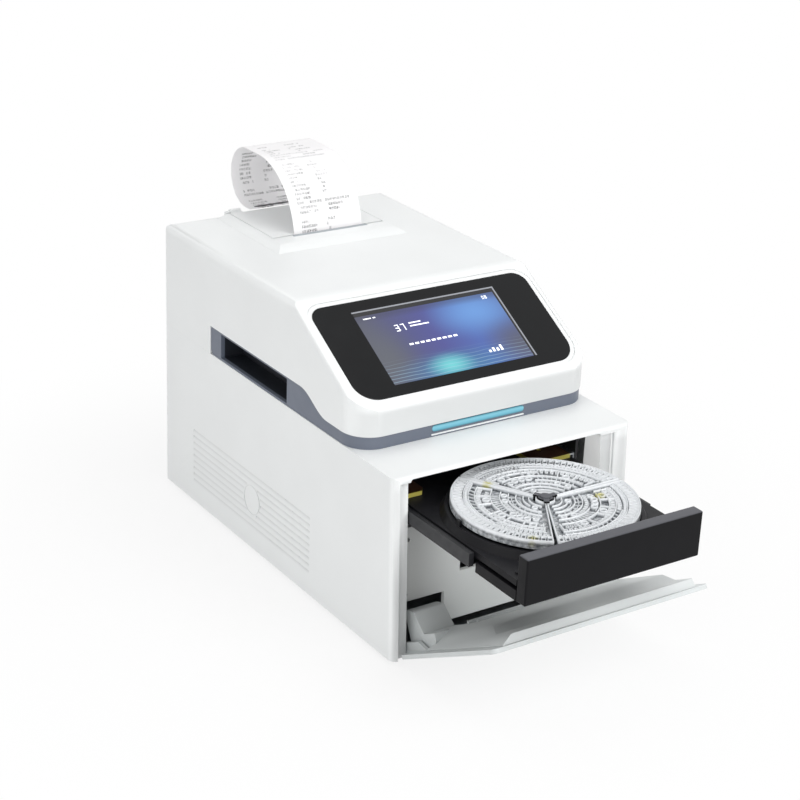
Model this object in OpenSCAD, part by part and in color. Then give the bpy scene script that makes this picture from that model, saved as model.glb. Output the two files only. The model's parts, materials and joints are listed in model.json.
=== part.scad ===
// Benchtop chemistry analyzer: a casing with a sloping screen, a motor drawer that carries a
// three-sector reagent disc, a front flap that swings up as the drawer goes in, and a printer.
// The drawer stands out and the flap lies open, as in the rest pose.
// Every place is measured from the casing's front face at y = 0, going back, from the middle of its
// width at x = 0 and from the table at z = 0. At the very end the whole is moved forward by half
// the depth, so that the origin is the middle of the footprint.

/* [Casing] */
// Width of the casing
body_w = 190; // [188:1:196]
// Depth of the casing
body_d = 320; // [318:1:326]
// Height of the top above the table
body_h = 206; // [205:1:210]
// Height of the rubber feet
foot_h = 3; // [2.5:0.5:3]
// Height of the front ledge above the table
ledge_h = 130; // [130:1:131]
// Distance from the front face back to the screen housing
module_y = 50; // [49:1:51]
// Height of the screen housing's front lip
lip_h = 157; // [155:1:158]
// Distance from the front face back to the top of the slope
crease_y = 137; // [135:1:139]
// Wall thickness of the shells
wall = 3; // [2.5:0.5:3]
// Radius of the upright corners
corner_r = 6; // [5:1:6]
// Angle by which the front face leans back
front_lean = 3; // [2:0.5:3.5]
// Radius of the screen housing's two front corners, seen from above
nose_r = 20; // [16:1:22]
// Radius of the ledge's front edge
ledge_r = 3; // [2:0.5:4]

/* [Front bay and flap] */
// Width of the bay that the drawer comes out of
bay_w = 150; // [149:1:151]
// Offset of the bay from the middle, to the left
bay_off = 11; // [10:0.5:11.5]
// Height of the bay's upper edge
bay_top = 128; // [127:0.5:128]
// Distance of the front opening's left edge from the middle
open_left = 82.5; // [81:0.5:83]
// Distance of the front opening's right edge from the middle
open_right = 71.5; // [70:0.5:72]
// Depth of the bay in front of the inner plate
bay_depth = 19; // [18:1:20]
// Distance of the flap's hinge axis behind the front face
hinge_y = 5.5; // [5:0.5:6]
// Height of the flap's hinge axis
hinge_z = 7.5; // [7.5:0.5:8]
// Angle between the open flap and the upright
flap_swing = 61; // [58:1:62]
// Height of the flap's tip when it is shut
flap_top = 125; // [122:1:125]

/* [Drawer and disc] */
// Travel of the drawer
travel = 150; // [148:1:152]
// Width of the drawer front
drawer_w = 135; // [132:1:136]
// How far the drawer front stands out
drawer_out = 110; // [108:1:112]
// Height of the drawer front's lower edge
drawer_z = 93; // [93:0.5:94]
// Height of the drawer front
drawer_h = 31; // [28:1:31]
// Diameter of the reagent disc
disc_d = 120; // [116:1:122]
// Thickness of the reagent disc
disc_t = 6; // [5:0.5:6]
// Module of the rack and its pinion
gear_m = 1.25; // [1.25]
// Teeth of the drive pinion
pinion_teeth = 14; // [14]

/* [Screen] */
// Width of the black glass
glass_w = 174; // [172:1:175]
// Height of the black glass along the slope
glass_h = 81; // [80:1:82]
// Width of the picture
picture_w = 114.8; // [113:0.1:115]
// Height of the picture
picture_h = 63.6; // [62:0.1:64]

/* [Printer] */
// Width of the paper
paper_w = 57; // [57]
// Diameter of the paper roll
roll_d = 44; // [30:1:44]
// Radius of the platen roller
platen_r = 6; // [6]

/* [Hidden] */

white_abs = "#eef0f0";
band_grey = "#6b7280";
pocket_grey = "#3a404c";
black_abs = "#222226";
plate_grey = "#9fa3a3";
flap_grey = "#c5caca";
board_green = "#2f6b4a";
steel = "#b9bcc0";
gold_steel = "#c9b46a";
dark_steel = "#3c3e42";
clear_ps = "#dfe6ea";
cyan_glow = "#8cc8dc";

side_x = body_w / 2;
inner_x = side_x - wall;
bay_l = -bay_off - bay_w / 2;
bay_r = -bay_off + bay_w / 2;
open_l = -open_left;
open_r = open_right;
reveal_t = 3;
seat_depth = 3.2;
front_t = 6;
plate_y = bay_depth;
plate_t = 3;
jamb_back = plate_y + plate_t + 3;
flap_l = -90;
flap_r = 80;
cheek_l = open_l + 1;
cheek_r = open_r - 1;
cheek_t = 3;
pin_r = 2;
fit = 0.05;

band_z = ledge_h;
band_front_top = band_z + 8.8;
band_high = band_z + 21;
wave_y0 = module_y + 38;
wave_y1 = module_y + 72;
band_end_y = 247;
band_t = 3;
edge_r = 7;
lip_r = 4;
slope_edge_r = 3;
band_in = 0.6;
seam = 0.2;
pocket_y0 = 140;
pocket_y1 = 232;
pocket_deep = 17;

slope_deg = atan((body_h - lip_h) / (crease_y - module_y));
slope_y = (module_y + crease_y) / 2;
slope_z = (lip_h + body_h) / 2;

glass_v = -0.5;
glass_r_low = 15.5;
glass_r_high = 10.3;
ring_w = 3.3;
ring_sunk = 0.5;
glass_sunk = 0.3;
glass_t = 1.8;

panel_y = body_d - 4;
panel_t = 2;
pan_t = 1.5;
pan_z = foot_h + pan_t;

draw_x = -bay_off;
front_face_y = -drawer_out;
front_back_y = front_face_y + 9;
tray_z = 103;
tray_t = 4;
tray_end_y = 60;
screw_x = [-69, 41];
screw_y = [36, 50];
disc_x = draw_x - 1;
disc_y = front_back_y + disc_d / 2 + 1;
disc_z = 113;
ring_r = disc_d / 2 + 2;
hub_r = 4.8;
sector_gap = 1.6;

pitch_r = gear_m * pinion_teeth / 2;
rack_x0 = 22;
rack_x1 = 28;
rack_y0 = -96;
rack_teeth = 43;
rack_pitch_z = 89.8;
pinion_y = 62;
pinion_z = rack_pitch_z - pitch_r;
tooth_pitch = PI * gear_m;
backlash = 0.28;
rack_offset = (pinion_y - rack_y0) / tooth_pitch - floor((pinion_y - rack_y0) / tooth_pitch);
pinion_phase = (rack_offset > 0.5 ? rack_offset - 1 : rack_offset) * 360 / pinion_teeth;

roll_y = 284;
roll_z = 174;
core_r = 6.5;
platen_y = 251;
platen_z = 199;
strip_t = 0.4;
strip_y = platen_y - platen_r - 0.05 - strip_t / 2;
lid_y0 = 245.8;
lid_y1 = 314;
lid_rise = 4;
lid_half = 46;
lid_axis_y = 316.5;
lid_axis_z = body_h + 2.3;
bezel_y0 = 222;
slot_y = 243.2;

rail_z = 101;
rail_web = 1.2;
rail_w = 6;
rail_bar_w = 3.6;
fixed_rail_y0 = jamb_back + 1;
bar_y0 = -58;
bar_y1 = 78;
fixed_rail_y1 = bar_y1 + travel + 12;
optic_y = 164;
pressure = 20;
base_r = pitch_r * cos(pressure);
tip_r = pitch_r + gear_m;
root_r = pitch_r - 1.25 * gear_m;
sector_turn = -1;
flap_z0 = 34;
flap_deep = 13;
flap_thin = 8.6;
flap_bend = 92;
flap_slant = 16;
rocker_tilt = 9;

strip_r1 = 54;
strip_a1 = 84;
strip_flat = 18;
strip_top = body_h + 1 + strip_r1 * (1 - cos(strip_a1));
strip_r2 = (strip_top - body_h - lid_rise - 0.4) / 2;
strip_a2 = 180;
strip_tail = 7;

fan_x = -48;
fan_z = 62;
fan_r = 27;
inlet_x = 52;
inlet_z = 30;
rocker_z = 64;

// Helpers

// Box between two opposite corners
module block(lo, hi) {
    translate(lo) cube(hi - lo);
}

// Round bar along X, Y or Z
module bar_x(x0, x1, y, z, r) {
    translate([x0, y, z]) rotate([0, 90, 0]) cylinder(h = x1 - x0, r = r, $fn = 48);
}
module bar_y(y0, y1, x, z, r) {
    translate([x, y1, z]) rotate([90, 0, 0]) cylinder(h = y1 - y0, r = r, $fn = 48);
}
module bar_z(z0, z1, x, y, r) {
    translate([x, y, z0]) cylinder(h = z1 - z0, r = r, $fn = 48);
}

// Outline in side view, pushed along X
module along_x(x0, x1) {
    translate([x0, 0, 0]) rotate([90, 0, 90]) linear_extrude(height = x1 - x0) children();
}

// Outline seen from the front, pushed along Y
module along_y(y0, y1) {
    translate([0, y1, 0]) rotate([90, 0, 0]) linear_extrude(height = y1 - y0) children();
}

// Rounded rectangle about the middle
module rounded(w, h, r) {
    square([w - 2 * r, h], center = true);
    square([w, h - 2 * r], center = true);
    for (x = [-1, 1], y = [-1, 1]) {
        translate([x * (w / 2 - r), y * (h / 2 - r)]) circle(r = r, $fn = 48);
    }
}

// Rectangle whose front corners and back corners have radii of their own
module two_radii(half, front, back, r_front, r_back) {
    translate([-half, front + r_front]) square([2 * half, back - front - r_front - r_back]);
    translate([-half + r_front, front]) square([2 * (half - r_front), r_front + 1]);
    translate([-half + r_back, back - r_back - 1]) square([2 * (half - r_back), r_back + 1]);
    for (s = [-1, 1]) {
        translate([s * (half - r_front), front + r_front]) circle(r = r_front, $fn = 72);
        translate([s * (half - r_back), back - r_back]) circle(r = r_back, $fn = 48);
    }
}

// Slot with round ends, drawn from (a, z) to (b, z)
module slot_2d(a, b, z, h) {
    translate([a + h / 2, z - h / 2]) square([b - a - h, h]);
    translate([a + h / 2, z]) circle(d = h, $fn = 24);
    translate([b - h / 2, z]) circle(d = h, $fn = 24);
}

// Arc that rounds the corner b of the path a, b, c
function corner(a, b, c, r, n = 6) =
    let (
        u = (a - b) / norm(a - b),
        v = (c - b) / norm(c - b),
        half = acos(u * v) / 2,
        centre = b + (u + v) / norm(u + v) * r / sin(half),
        p = b + u * r / tan(half) - centre,
        q = b + v * r / tan(half) - centre,
        a0 = atan2(p[1], p[0]),
        turn = atan2(p[0] * q[1] - p[1] * q[0], p * q)
    )
    [for (i = [0:n]) centre + r * [cos(a0 + turn * i / n), sin(a0 + turn * i / n)]];

// The slope's own frame: X across, Y up the slope, Z out of it
module on_slope() {
    translate([0, slope_y, slope_z]) rotate([slope_deg, 0, 0]) children();
}

// Leans back with the front face, about the flap's hinge axis
module leaned() {
    translate([0, hinge_y, hinge_z]) rotate([-front_lean, 0, 0])
        translate([0, -hinge_y, -hinge_z]) children();
}

// Turns the upright flap into its open rest pose
module flap_open() {
    translate([0, hinge_y, hinge_z]) rotate([flap_swing, 0, 0])
        translate([0, -hinge_y, -hinge_z]) children();
}

module at_disc() {
    translate([disc_x, disc_y, disc_z]) children();
}

// Casing

// Steel pan that closes the bottom, with a low fold along three sides
module base_pan() color(steel) {
    x_out = inner_x - 0.2;
    y_front = jamb_back + 0.5;
    y_back = panel_y - 0.2;
    fold_z = foot_h + 9;
    difference() {
        union() {
            block([-x_out, y_front, foot_h], [x_out, y_back, pan_z]);
            block([open_l + 0.2, 11, foot_h], [open_r - 0.2, y_front + 0.5, pan_z]);
            block([open_r + reveal_t + 0.2, front_t + 1, foot_h], [x_out, y_front + 0.5, pan_z]);
            for (x = [-x_out, x_out - pan_t]) block([x, y_front, foot_h], [x + pan_t, y_back, fold_z]);
            block([-x_out, y_back - pan_t, foot_h], [x_out, y_back, fold_z]);
        }
        for (i = [0:6]) {
            translate([-60 + i * 9, 130, 0]) linear_extrude(height = 6) rotate(90)
                slot_2d(0, 60, 0, 3.4);
        }
    }
}

// Four rubber pads under the pan
module feet() color(dark_steel) {
    for (x = [-76, 76], y = [38, 286]) {
        translate([x, y, 0]) rotate_extrude($fn = 48)
            polygon([[0, 0], [8.2, 0], [9, 0.8], [9, foot_h], [0, foot_h]]);
    }
}

// Side outline of the lower shell: rounds the front edge of the ledge, clear of the front face below
module lower_side() {
    lean_k = tan(front_lean);
    foot = [0, hinge_z];
    top = [(ledge_h - hinge_z) * lean_k, ledge_h];
    edge = corner(foot, top, [body_d, ledge_h], ledge_r);
    polygon(concat([[-5, foot_h], [-5, ledge_h - 15]], edge, [[body_d, ledge_h], [body_d, foot_h]]));
}

// Side vents: shallow louvres round a blank with a fine ring, the front ones with open slits
module vents(s) {
    first_z = 20.2;
    pitch = 5;
    from_y = 105;
    to_y = 272.5;
    blank_y = 184.5;
    blank_z = 40.5;
    blank_r = 12;
    slit_y = 108;
    slit_pitch = 9.9;
    slit_l = 2.4;
    mirror([s > 0 ? 0 : 1, 0, 0]) {
        for (i = [0:8]) {
            z = first_z + i * pitch;
            dz = z - blank_z;
            gap = abs(dz) < blank_r ? sqrt(blank_r * blank_r - dz * dz) : 0;
            if (gap > 0) {
                louvre(z, from_y, blank_y - gap);
                louvre(z, blank_y + gap, to_y);
            } else {
                louvre(z, from_y, to_y);
            }
            for (k = [0:5]) {
                y = slit_y + k * slit_pitch;
                block([inner_x - 1, y, z], [side_x, y + slit_l, z + 0.9]);
            }
        }
        difference() {
            bar_x(side_x - 0.4, side_x + 0.4, blank_y, blank_z, 11.2);
            bar_x(side_x - 1, side_x + 1, blank_y, blank_z, 10.4);
        }
    }
}
module louvre(z, y0, y1) {
    along_y(y0, y1) polygon([
        [side_x + 1, z - 2], [side_x, z - 2], [side_x - 0.9, z + 0.9], [side_x + 1, z + 0.9]
    ]);
}

// Front opening with its rounded upper corners
module opening() {
    r_left = 2;
    r_right = 6;
    translate([open_l, -1]) square([open_r - open_l, bay_top - r_right + 1]);
    translate([open_l + r_left, -1]) square([open_r - open_l - r_left - r_right, bay_top + 1]);
    translate([open_l + r_left, bay_top - r_left]) circle(r = r_left, $fn = 48);
    translate([open_l, bay_top - r_right - 1]) square([r_left * 2, r_right - r_left + 1]);
    translate([open_r - r_right, bay_top - r_right]) circle(r = r_right, $fn = 48);
}

// Lower shell: sides, ledge, the leaning front with its flap seat and the walls of the bay
module lower_case() color(white_abs) {
    difference() {
        intersection() {
            translate([0, body_d / 2 - 20, foot_h - 5]) linear_extrude(height = ledge_h + 10)
                rounded(body_w, body_d + 40, corner_r);
            leaned() translate([0, body_d, -20]) linear_extrude(height = ledge_h + 60)
                rounded(body_w, 2 * body_d, corner_r);
            along_x(-side_x - 1, side_x + 1) lower_side();
        }
        block([-inner_x, jamb_back, -1], [inner_x, body_d + 1, ledge_h - wall]);
        block([-inner_x, module_y + 12, -1], [inner_x, body_d + 1, ledge_h + 1]);
        for (x = [[-inner_x, open_l - reveal_t], [open_r + reveal_t, inner_x]]) {
            block([x[0], front_t + 8, -1], [x[1], jamb_back + 1, bay_top - 2]);
            leaned() block([x[0], front_t, -10], [x[1], front_t + 12, bay_top - 4]);
        }
        along_y(-5, jamb_back + 1) opening();
        leaned() block([flap_l - 0.5, -3, -10], [flap_r + 0.5, seat_depth, flap_top + 1]);
        bar_x(open_l - 3.5, open_l + 1, hinge_y, hinge_z, pin_r);
        bar_x(open_r - 1, open_r + 4, hinge_y, hinge_z, pin_r);
        vents(-1);
        vents(1);
    }
    for (s = [-1, 1], z = [24, 112]) screw_post(s, z);
}

// Post that a rear panel screw bites into
module screw_post(s, z) {
    x0 = s > 0 ? inner_x - 8 : -inner_x;
    difference() {
        block([x0, panel_y - 14, z - 4], [x0 + 8, panel_y, z + 4]);
        bar_y(panel_y - 12, panel_y + 1, x0 + 4, z, 1.25);
    }
}

// Lower edge of the upper shell on the flanks: low at the front, high over the grip
function wave(lift) =
    [for (i = [0:12]) let (t = i / 12)
        [wave_y0 + (wave_y1 - wave_y0) * t,
         band_front_top + lift + (band_high - band_front_top) * (1 - cos(180 * t)) / 2]];

// Side outline of the upper shell
module upper_side() {
    lip = [module_y, lip_h];
    crease = [crease_y, body_h];
    back = [body_d, body_h];
    polygon(concat(
        [[module_y, band_front_top]],
        corner([module_y, band_front_top], lip, crease, lip_r),
        corner(lip, crease, back, 14),
        corner(crease, back, [body_d, band_z], 6),
        [[body_d, band_z], [band_end_y, band_z], [band_end_y, band_high]],
        [for (i = [12:-1:0]) wave(0)[i]]
    ));
}

// Hollow of the upper shell
module upper_hollow() {
    polygon([
        [module_y + wall, band_z - 1], [module_y + wall, lip_h - wall * 0.6],
        [crease_y + wall * 0.3, body_h - wall], [body_d + 1, body_h - wall], [body_d + 1, band_z - 1]
    ]);
}

// Upper shell: screen housing, slope, top and flanks
module upper_case() color(white_abs) {
    difference() {
        intersection() {
            translate([0, 0, band_z]) linear_extrude(height = body_h - band_z)
                two_radii(side_x, module_y, body_d, nose_r, corner_r);
            along_x(-side_x, side_x) upper_side();
            along_y(module_y - 1, body_d + 1) translate([0, body_h / 2])
                rounded(body_w, body_h, edge_r);
            on_slope() along_y(-body_d, body_d) translate([0, -body_d / 2])
                rounded(body_w, body_d, slope_edge_r);
        }
        intersection() {
            along_x(-inner_x, inner_x) upper_hollow();
            translate([0, 0, band_z - 1]) linear_extrude(height = body_h)
                two_radii(inner_x, module_y + wall, body_d + 2, nose_r - wall, 1);
        }
        on_slope() translate([0, 0, -wall * 2]) linear_extrude(height = wall * 4)
            glass_outline(ring_w + 0.1);
        block([-38, bezel_y0 + 14, body_h - 8], [38, lid_y1 - 2, body_h + 1]);
    }
    for (s = [-1, 1], z = [142, 192]) screw_post(s, z);
}

// Outline of the band on a flank
module band_side() {
    high = band_high - seam;
    end_y = band_end_y - seam;
    polygon(concat(
        [[module_y + band_in, band_z], [module_y + band_in, band_front_top - seam]],
        wave(-seam),
        corner([wave_y1, high], [end_y, high], [end_y, band_z], 2),
        corner([end_y, band_high], [end_y, band_z], [module_y, band_z], 4)
    ));
}

// Grey band round the waist, with a window over each grip and a slot for the light
module waist_band() color(band_grey) {
    band_x = side_x - band_in;
    difference() {
        intersection() {
            translate([0, 0, band_z]) linear_extrude(height = 30)
                two_radii(band_x, module_y + band_in, body_d, nose_r - band_in, corner_r);
            along_x(-band_x, band_x) band_side();
        }
        translate([0, 0, band_z - 1]) linear_extrude(height = 40)
            two_radii(band_x - band_t, module_y + band_in + band_t, body_d, nose_r - band_in - band_t, 1);
        for (x = [-side_x, side_x]) {
            block([x - 6, pocket_y0, band_z + 1.5], [x + 6, pocket_y1, band_high - 1.6]);
        }
        along_y(module_y - 1, module_y + 6) slot_2d(-37.2, 37.2, band_z + 5.9, 4.8);
        along_y(module_y - 1, module_y + 6) slot_2d(-37.6, 37.6, band_z + 1.6, 1.2);
    }
}

// Moulded well behind each window of the band, for the fingers that lift the casing
module grip_pocket(s) {
    x_out = side_x - band_in - band_t;
    x_in = x_out - pocket_deep;
    mirror([s > 0 ? 0 : 1, 0, 0]) difference() {
        block([x_in, pocket_y0 - 2, band_z + 0.2], [x_out, pocket_y1 + 2, band_high]);
        block([x_in + 2, pocket_y0, band_z + 1.5], [x_out + 1, pocket_y1, band_high - 1.6]);
    }
}
module grip_pocket_left() color(pocket_grey) grip_pocket(-1);
module grip_pocket_right() color(pocket_grey) grip_pocket(1);

// Lit bar in the front of the band, the fine lip under it and the board that lights it
module light_bar() color(cyan_glow) {
    along_y(module_y + 0.3, module_y + 3.6) slot_2d(-37, 37, band_z + 5.9, 4.4);
}
module light_bar_lip() color(white_abs) {
    along_y(module_y + 0.3, module_y + 3.6) slot_2d(-37.5, 37.5, band_z + 1.6, 1);
}
module led_board() color(board_green) {
    block([-42, module_y + 6, band_z + 1], [42, module_y + 7.6, band_z + 12]);
    for (i = [0:8]) {
        x = (i - 4) * 8.5;
        block([x - 1.6, module_y + 5, band_z + 4.6], [x + 1.6, module_y + 6, band_z + 7.2]);
    }
}

// Steel rear panel with the openings for the fan, the inlet, the switch and the ports
module rear_panel() color(steel) {
    difference() {
        block([-inner_x + 0.2, panel_y, foot_h + 1],
              [inner_x - 0.2, panel_y + panel_t, body_h - wall - 0.4]);
        bar_y(panel_y - 1, panel_y + 5, fan_x, fan_z, fan_r + 1);
        for (x = [-25, 25], z = [-25, 25]) bar_y(panel_y - 1, panel_y + 5, fan_x + x, fan_z + z, 1.6);
        block([inlet_x - 14, panel_y - 1, inlet_z - 10], [inlet_x + 14, panel_y + 5, inlet_z + 10]);
        block([inlet_x - 10.5, panel_y - 1, rocker_z - 14], [inlet_x + 10.5, panel_y + 5, rocker_z + 14]);
        block([4, panel_y - 1, 20], [30, panel_y + 5, 48]);
        for (s = [-1, 1], z = [24, 112, 142, 192]) {
            bar_y(panel_y - 1, panel_y + 5, s * (inner_x - 4), z, 1.7);
        }
        for (i = [0:5]) along_y(panel_y - 1, panel_y + 5) slot_2d(-60, 60, 118 + i * 6, 3);
    }
}

// Pan-head screws of the rear panel
module case_screws() color(dark_steel) {
    for (s = [-1, 1], z = [24, 112, 142, 192]) {
        difference() {
            union() {
                bar_y(panel_y + panel_t, panel_y + panel_t + 1.8, s * (inner_x - 4), z, 2.9);
                bar_y(panel_y - 10, panel_y + panel_t, s * (inner_x - 4), z, 1.25);
            }
            for (a = [0, 90]) {
                translate([s * (inner_x - 4), panel_y + panel_t + 1.8, z]) rotate([0, a, 0])
                    cube([3.2, 2, 0.7], center = true);
            }
        }
    }
}

// Screen

// Outline of the glass, larger by a margin
module glass_outline(m) {
    half_h = glass_h / 2 + m;
    translate([0, glass_v]) two_radii(glass_w / 2 + m, -half_h, half_h, glass_r_low + m, glass_r_high + m);
}

// White ring round the glass, a little below the slope
module screen_surround() color(white_abs) on_slope() {
    translate([0, 0, -wall]) linear_extrude(height = wall - ring_sunk) difference() {
        glass_outline(ring_w);
        glass_outline(0.15);
    }
}

// Black printed border of the touch glass
module touch_glass() color("#26282b") on_slope() {
    translate([0, 0, -glass_sunk - glass_t]) linear_extrude(height = glass_t) difference() {
        glass_outline(0);
        translate([0, glass_v]) square([picture_w + 0.4, picture_h + 0.4], center = true);
    }
}

// The lit picture area
module picture_panel() color("#4f86e0") on_slope() {
    translate([-picture_w / 2, glass_v - picture_h / 2, -glass_sunk - glass_t])
        cube([picture_w, picture_h, glass_t - 0.2]);
}

// Metal can of the display behind the glass, with its four fixing ears
module screen_module() color(steel) on_slope() {
    translate([-61, -36, -7.4]) cube([122, 72, 5]);
    for (x = [-1, 1], y = [-1, 1]) translate([x * 65, y * 28, -7.4]) difference() {
        cube([10, 12, 1.5], center = true);
        cylinder(h = 4, r = 1.6, center = true, $fn = 24);
    }
}

// Control board of the screen with its connectors
module screen_board() color(board_green) on_slope() {
    translate([-56, -34, -13]) cube([112, 68, 1.6]);
    translate([-40, -20, -11.4]) cube([18, 18, 2]);
    translate([0, 8, -11.4]) cube([24, 10, 3]);
    translate([-30, -30, -18]) cube([36, 6, 5]);
}

// Front bay and chassis

// Grey plate behind the open flap, stepped and cut for the drive and the flap's arm
module inner_front_plate() color(plate_grey) {
    difference() {
        block([open_l, plate_y, foot_h + 7], [open_r, plate_y + plate_t, 87]);
        block([-31.5, plate_y - 1, 45], [42, plate_y + 5, 90]);
        block([open_l - 1, plate_y - 1, 0], [-43, plate_y + 5, 33]);
        for (x = [bay_l + 12, bay_r - 10], z = [38, 78]) bar_y(plate_y - 1, plate_y + 5, x, z, 1.6);
    }
}

// Black side plates that carry the drawer rails
module chassis_plate(x0) {
    difference() {
        block([x0, jamb_back + 0.5, pan_z], [x0 + 2, 262, 122]);
        for (y = [60, 130, 200]) {
            translate([x0 - 1, y, 0]) rotate([90, 0, 90]) linear_extrude(height = 4)
                translate([0, 48]) rounded(40, 40, 8);
        }
    }
    in_x = x0 < 0 ? x0 : x0 - 6;
    block([in_x, jamb_back + 0.5, pan_z], [in_x + 8, 262, foot_h + 3]);
}
module chassis_left() color(dark_steel) chassis_plate(bay_l - 2);
module chassis_right() color(dark_steel) chassis_plate(bay_r);

// Channels on the side plates that the drawer's bars run in
module fixed_rails() color(steel) {
    for (s = [-1, 1]) {
        x_out = s > 0 ? bay_r : bay_l;
        translate([x_out, 0, 0]) mirror([s > 0 ? 1 : 0, 0, 0]) difference() {
            block([0, fixed_rail_y0, rail_z - 6], [rail_w, fixed_rail_y1, rail_z + 6]);
            block([rail_web, fixed_rail_y0 - 1, rail_z - 6 + rail_web],
                  [rail_w + 1, fixed_rail_y1 + 1, rail_z + 6 - rail_web]);
        }
    }
}

// Black bridge over the shut drawer, with a hole for the objective
module optics_bridge() color(dark_steel) {
    difference() {
        union() {
            block([bay_l, 70, 122], [bay_r, 236, 124.5]);
            for (x = [bay_l, bay_r - 8]) block([x, 70, 110], [x + 8, 236, 122]);
        }
        bar_z(121, 126, disc_x, optic_y, 9);
        bar_z(121, 126, disc_x + 52, 117, 7);
        for (x = [-70, 48], y = [84, 222]) bar_z(121, 126, x, y, 1.7);
    }
}

// Photometer over the cuvette track
module photometer_housing() color("#4a4d52") {
    difference() {
        block([disc_x - 24, optic_y - 18, 124.5], [disc_x + 24, optic_y + 34, 158]);
        bar_z(124, 140, disc_x, optic_y, 6);
        block([disc_x - 18, optic_y + 6, 132], [disc_x + 18, optic_y + 30, 154]);
        bar_y(optic_y - 1, optic_y + 7, disc_x, 136, 4);
    }
}
module objective_lens() color(clear_ps) {
    translate([disc_x, optic_y, 124.8]) rotate_extrude($fn = 48) {
        polygon(concat([[0, 6], [6, 6]], [for (i = [6:-1:0]) [i, 0.8 * i * i / 36]]));
    }
}

// Finned lamp housing beside the photometer
module lamp_housing() color("#a9adb2") {
    difference() {
        block([disc_x + 36, 100, 124.5], [disc_x + 68, 134, 150]);
        for (i = [0:5]) block([disc_x + 35, 103.5 + i * 5, 134], [disc_x + 69, 106 + i * 5, 151]);
        bar_z(124, 134, disc_x + 52, 117, 6);
    }
}

// Involute outline of the drive pinion
function involute(base, a) =
    base * [cos(a) + a * PI / 180 * sin(a), sin(a) - a * PI / 180 * cos(a)];
function polar(r, a) = [r * cos(a), r * sin(a)];
function unwind(r) = sqrt(max(r * r / (base_r * base_r) - 1, 0)) * 180 / PI;
pitch_turn = unwind(pitch_r) - atan(unwind(pitch_r) * PI / 180);
half_tooth = 90 / pinion_teeth - backlash / 2 / pitch_r * 90 / PI;
function flank(k, side) =
    [for (i = [0:6]) let (j = side > 0 ? 6 - i : i,
                          a = unwind(base_r + (tip_r - base_r) * j / 6),
                          p = involute(base_r, a),
                          turn = atan2(p[1], p[0]),
                          r = norm(p))
        polar(r, k * 360 / pinion_teeth + side * (half_tooth + pitch_turn - turn))];

function rooted_flank(k, side) =
    let (root = polar(root_r - 0.1, k * 360 / pinion_teeth + side * (half_tooth + pitch_turn)))
    side < 0 ? concat([root], flank(k, side)) : concat(flank(k, side), [root]);

// Motor pinion with its shaft hole and boss, turned so that a tooth stands in a gap of the rack
module drive_pinion() color("#d8d4c8") {
    difference() {
        translate([rack_x0 - 1, pinion_y, pinion_z]) rotate([90, 0, 90]) union() {
            linear_extrude(height = rack_x1 - rack_x0 + 2) rotate(90 + pinion_phase) {
                circle(r = root_r, $fn = 56);
                polygon([for (k = [0:pinion_teeth - 1], side = [-1, 1], p = rooted_flank(k, side)) p]);
            }
            translate([0, 0, -4]) cylinder(h = 4, r = 5, $fn = 48);
        }
        bar_x(rack_x0 - 6, rack_x1 + 4, pinion_y, pinion_z, 1.5);
    }
}

// Gear motor, its mounting plate and its shaft
module drive_motor() color("#8f9398") {
    bar_x(rack_x1 + 5, rack_x1 + 27, pinion_y, pinion_z, 9.6);
    bar_x(rack_x1 + 3, rack_x1 + 5, pinion_y, pinion_z, 6);
    bar_x(rack_x0 - 6, rack_x1 + 3, pinion_y, pinion_z, 1.5 - fit);
    difference() {
        block([rack_x1 + 5, pinion_y - 14, pan_z], [rack_x1 + 7, pinion_y + 14, pinion_z + 4]);
        bar_x(rack_x1 + 4, rack_x1 + 8, pinion_y, pinion_z, 9.6);
    }
    block([rack_x1 + 7, pinion_y - 14, pan_z], [rack_x1 + 27, pinion_y + 14, foot_h + 3]);
}

// Main board on four posts, with its larger parts
module mainboard() color(board_green) {
    difference() {
        block([-80, 92, 14], [6, 238, 15.6]);
        for (x = [-75, 1], y = [97, 233]) bar_z(13, 17, x, y, 1.6);
    }
    for (x = [-75, 1], y = [97, 233]) difference() {
        bar_z(pan_z, 14, x, y, 3.2);
        bar_z(foot_h, 15, x, y, 1.6);
    }
    block([-56, 150, 15.6], [-30, 176, 18]);
    block([-18, 110, 15.6], [-4, 122, 18]);
    for (i = [0:3]) block([-74 + i * 18, 226, 15.6], [-60 + i * 18, 236, 24]);
    for (i = [0:2]) bar_z(15.6, 28, -68 + i * 14, 110, 5);
}

// Enclosed power supply
module power_supply() color("#a4a8ac") {
    difference() {
        block([12, 150, pan_z], [54, 270, 42]);
        for (i = [0:8]) translate([0, 0, 41]) block([18, 164 + i * 11, 0], [48, 168 + i * 11, 2]);
    }
}

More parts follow.
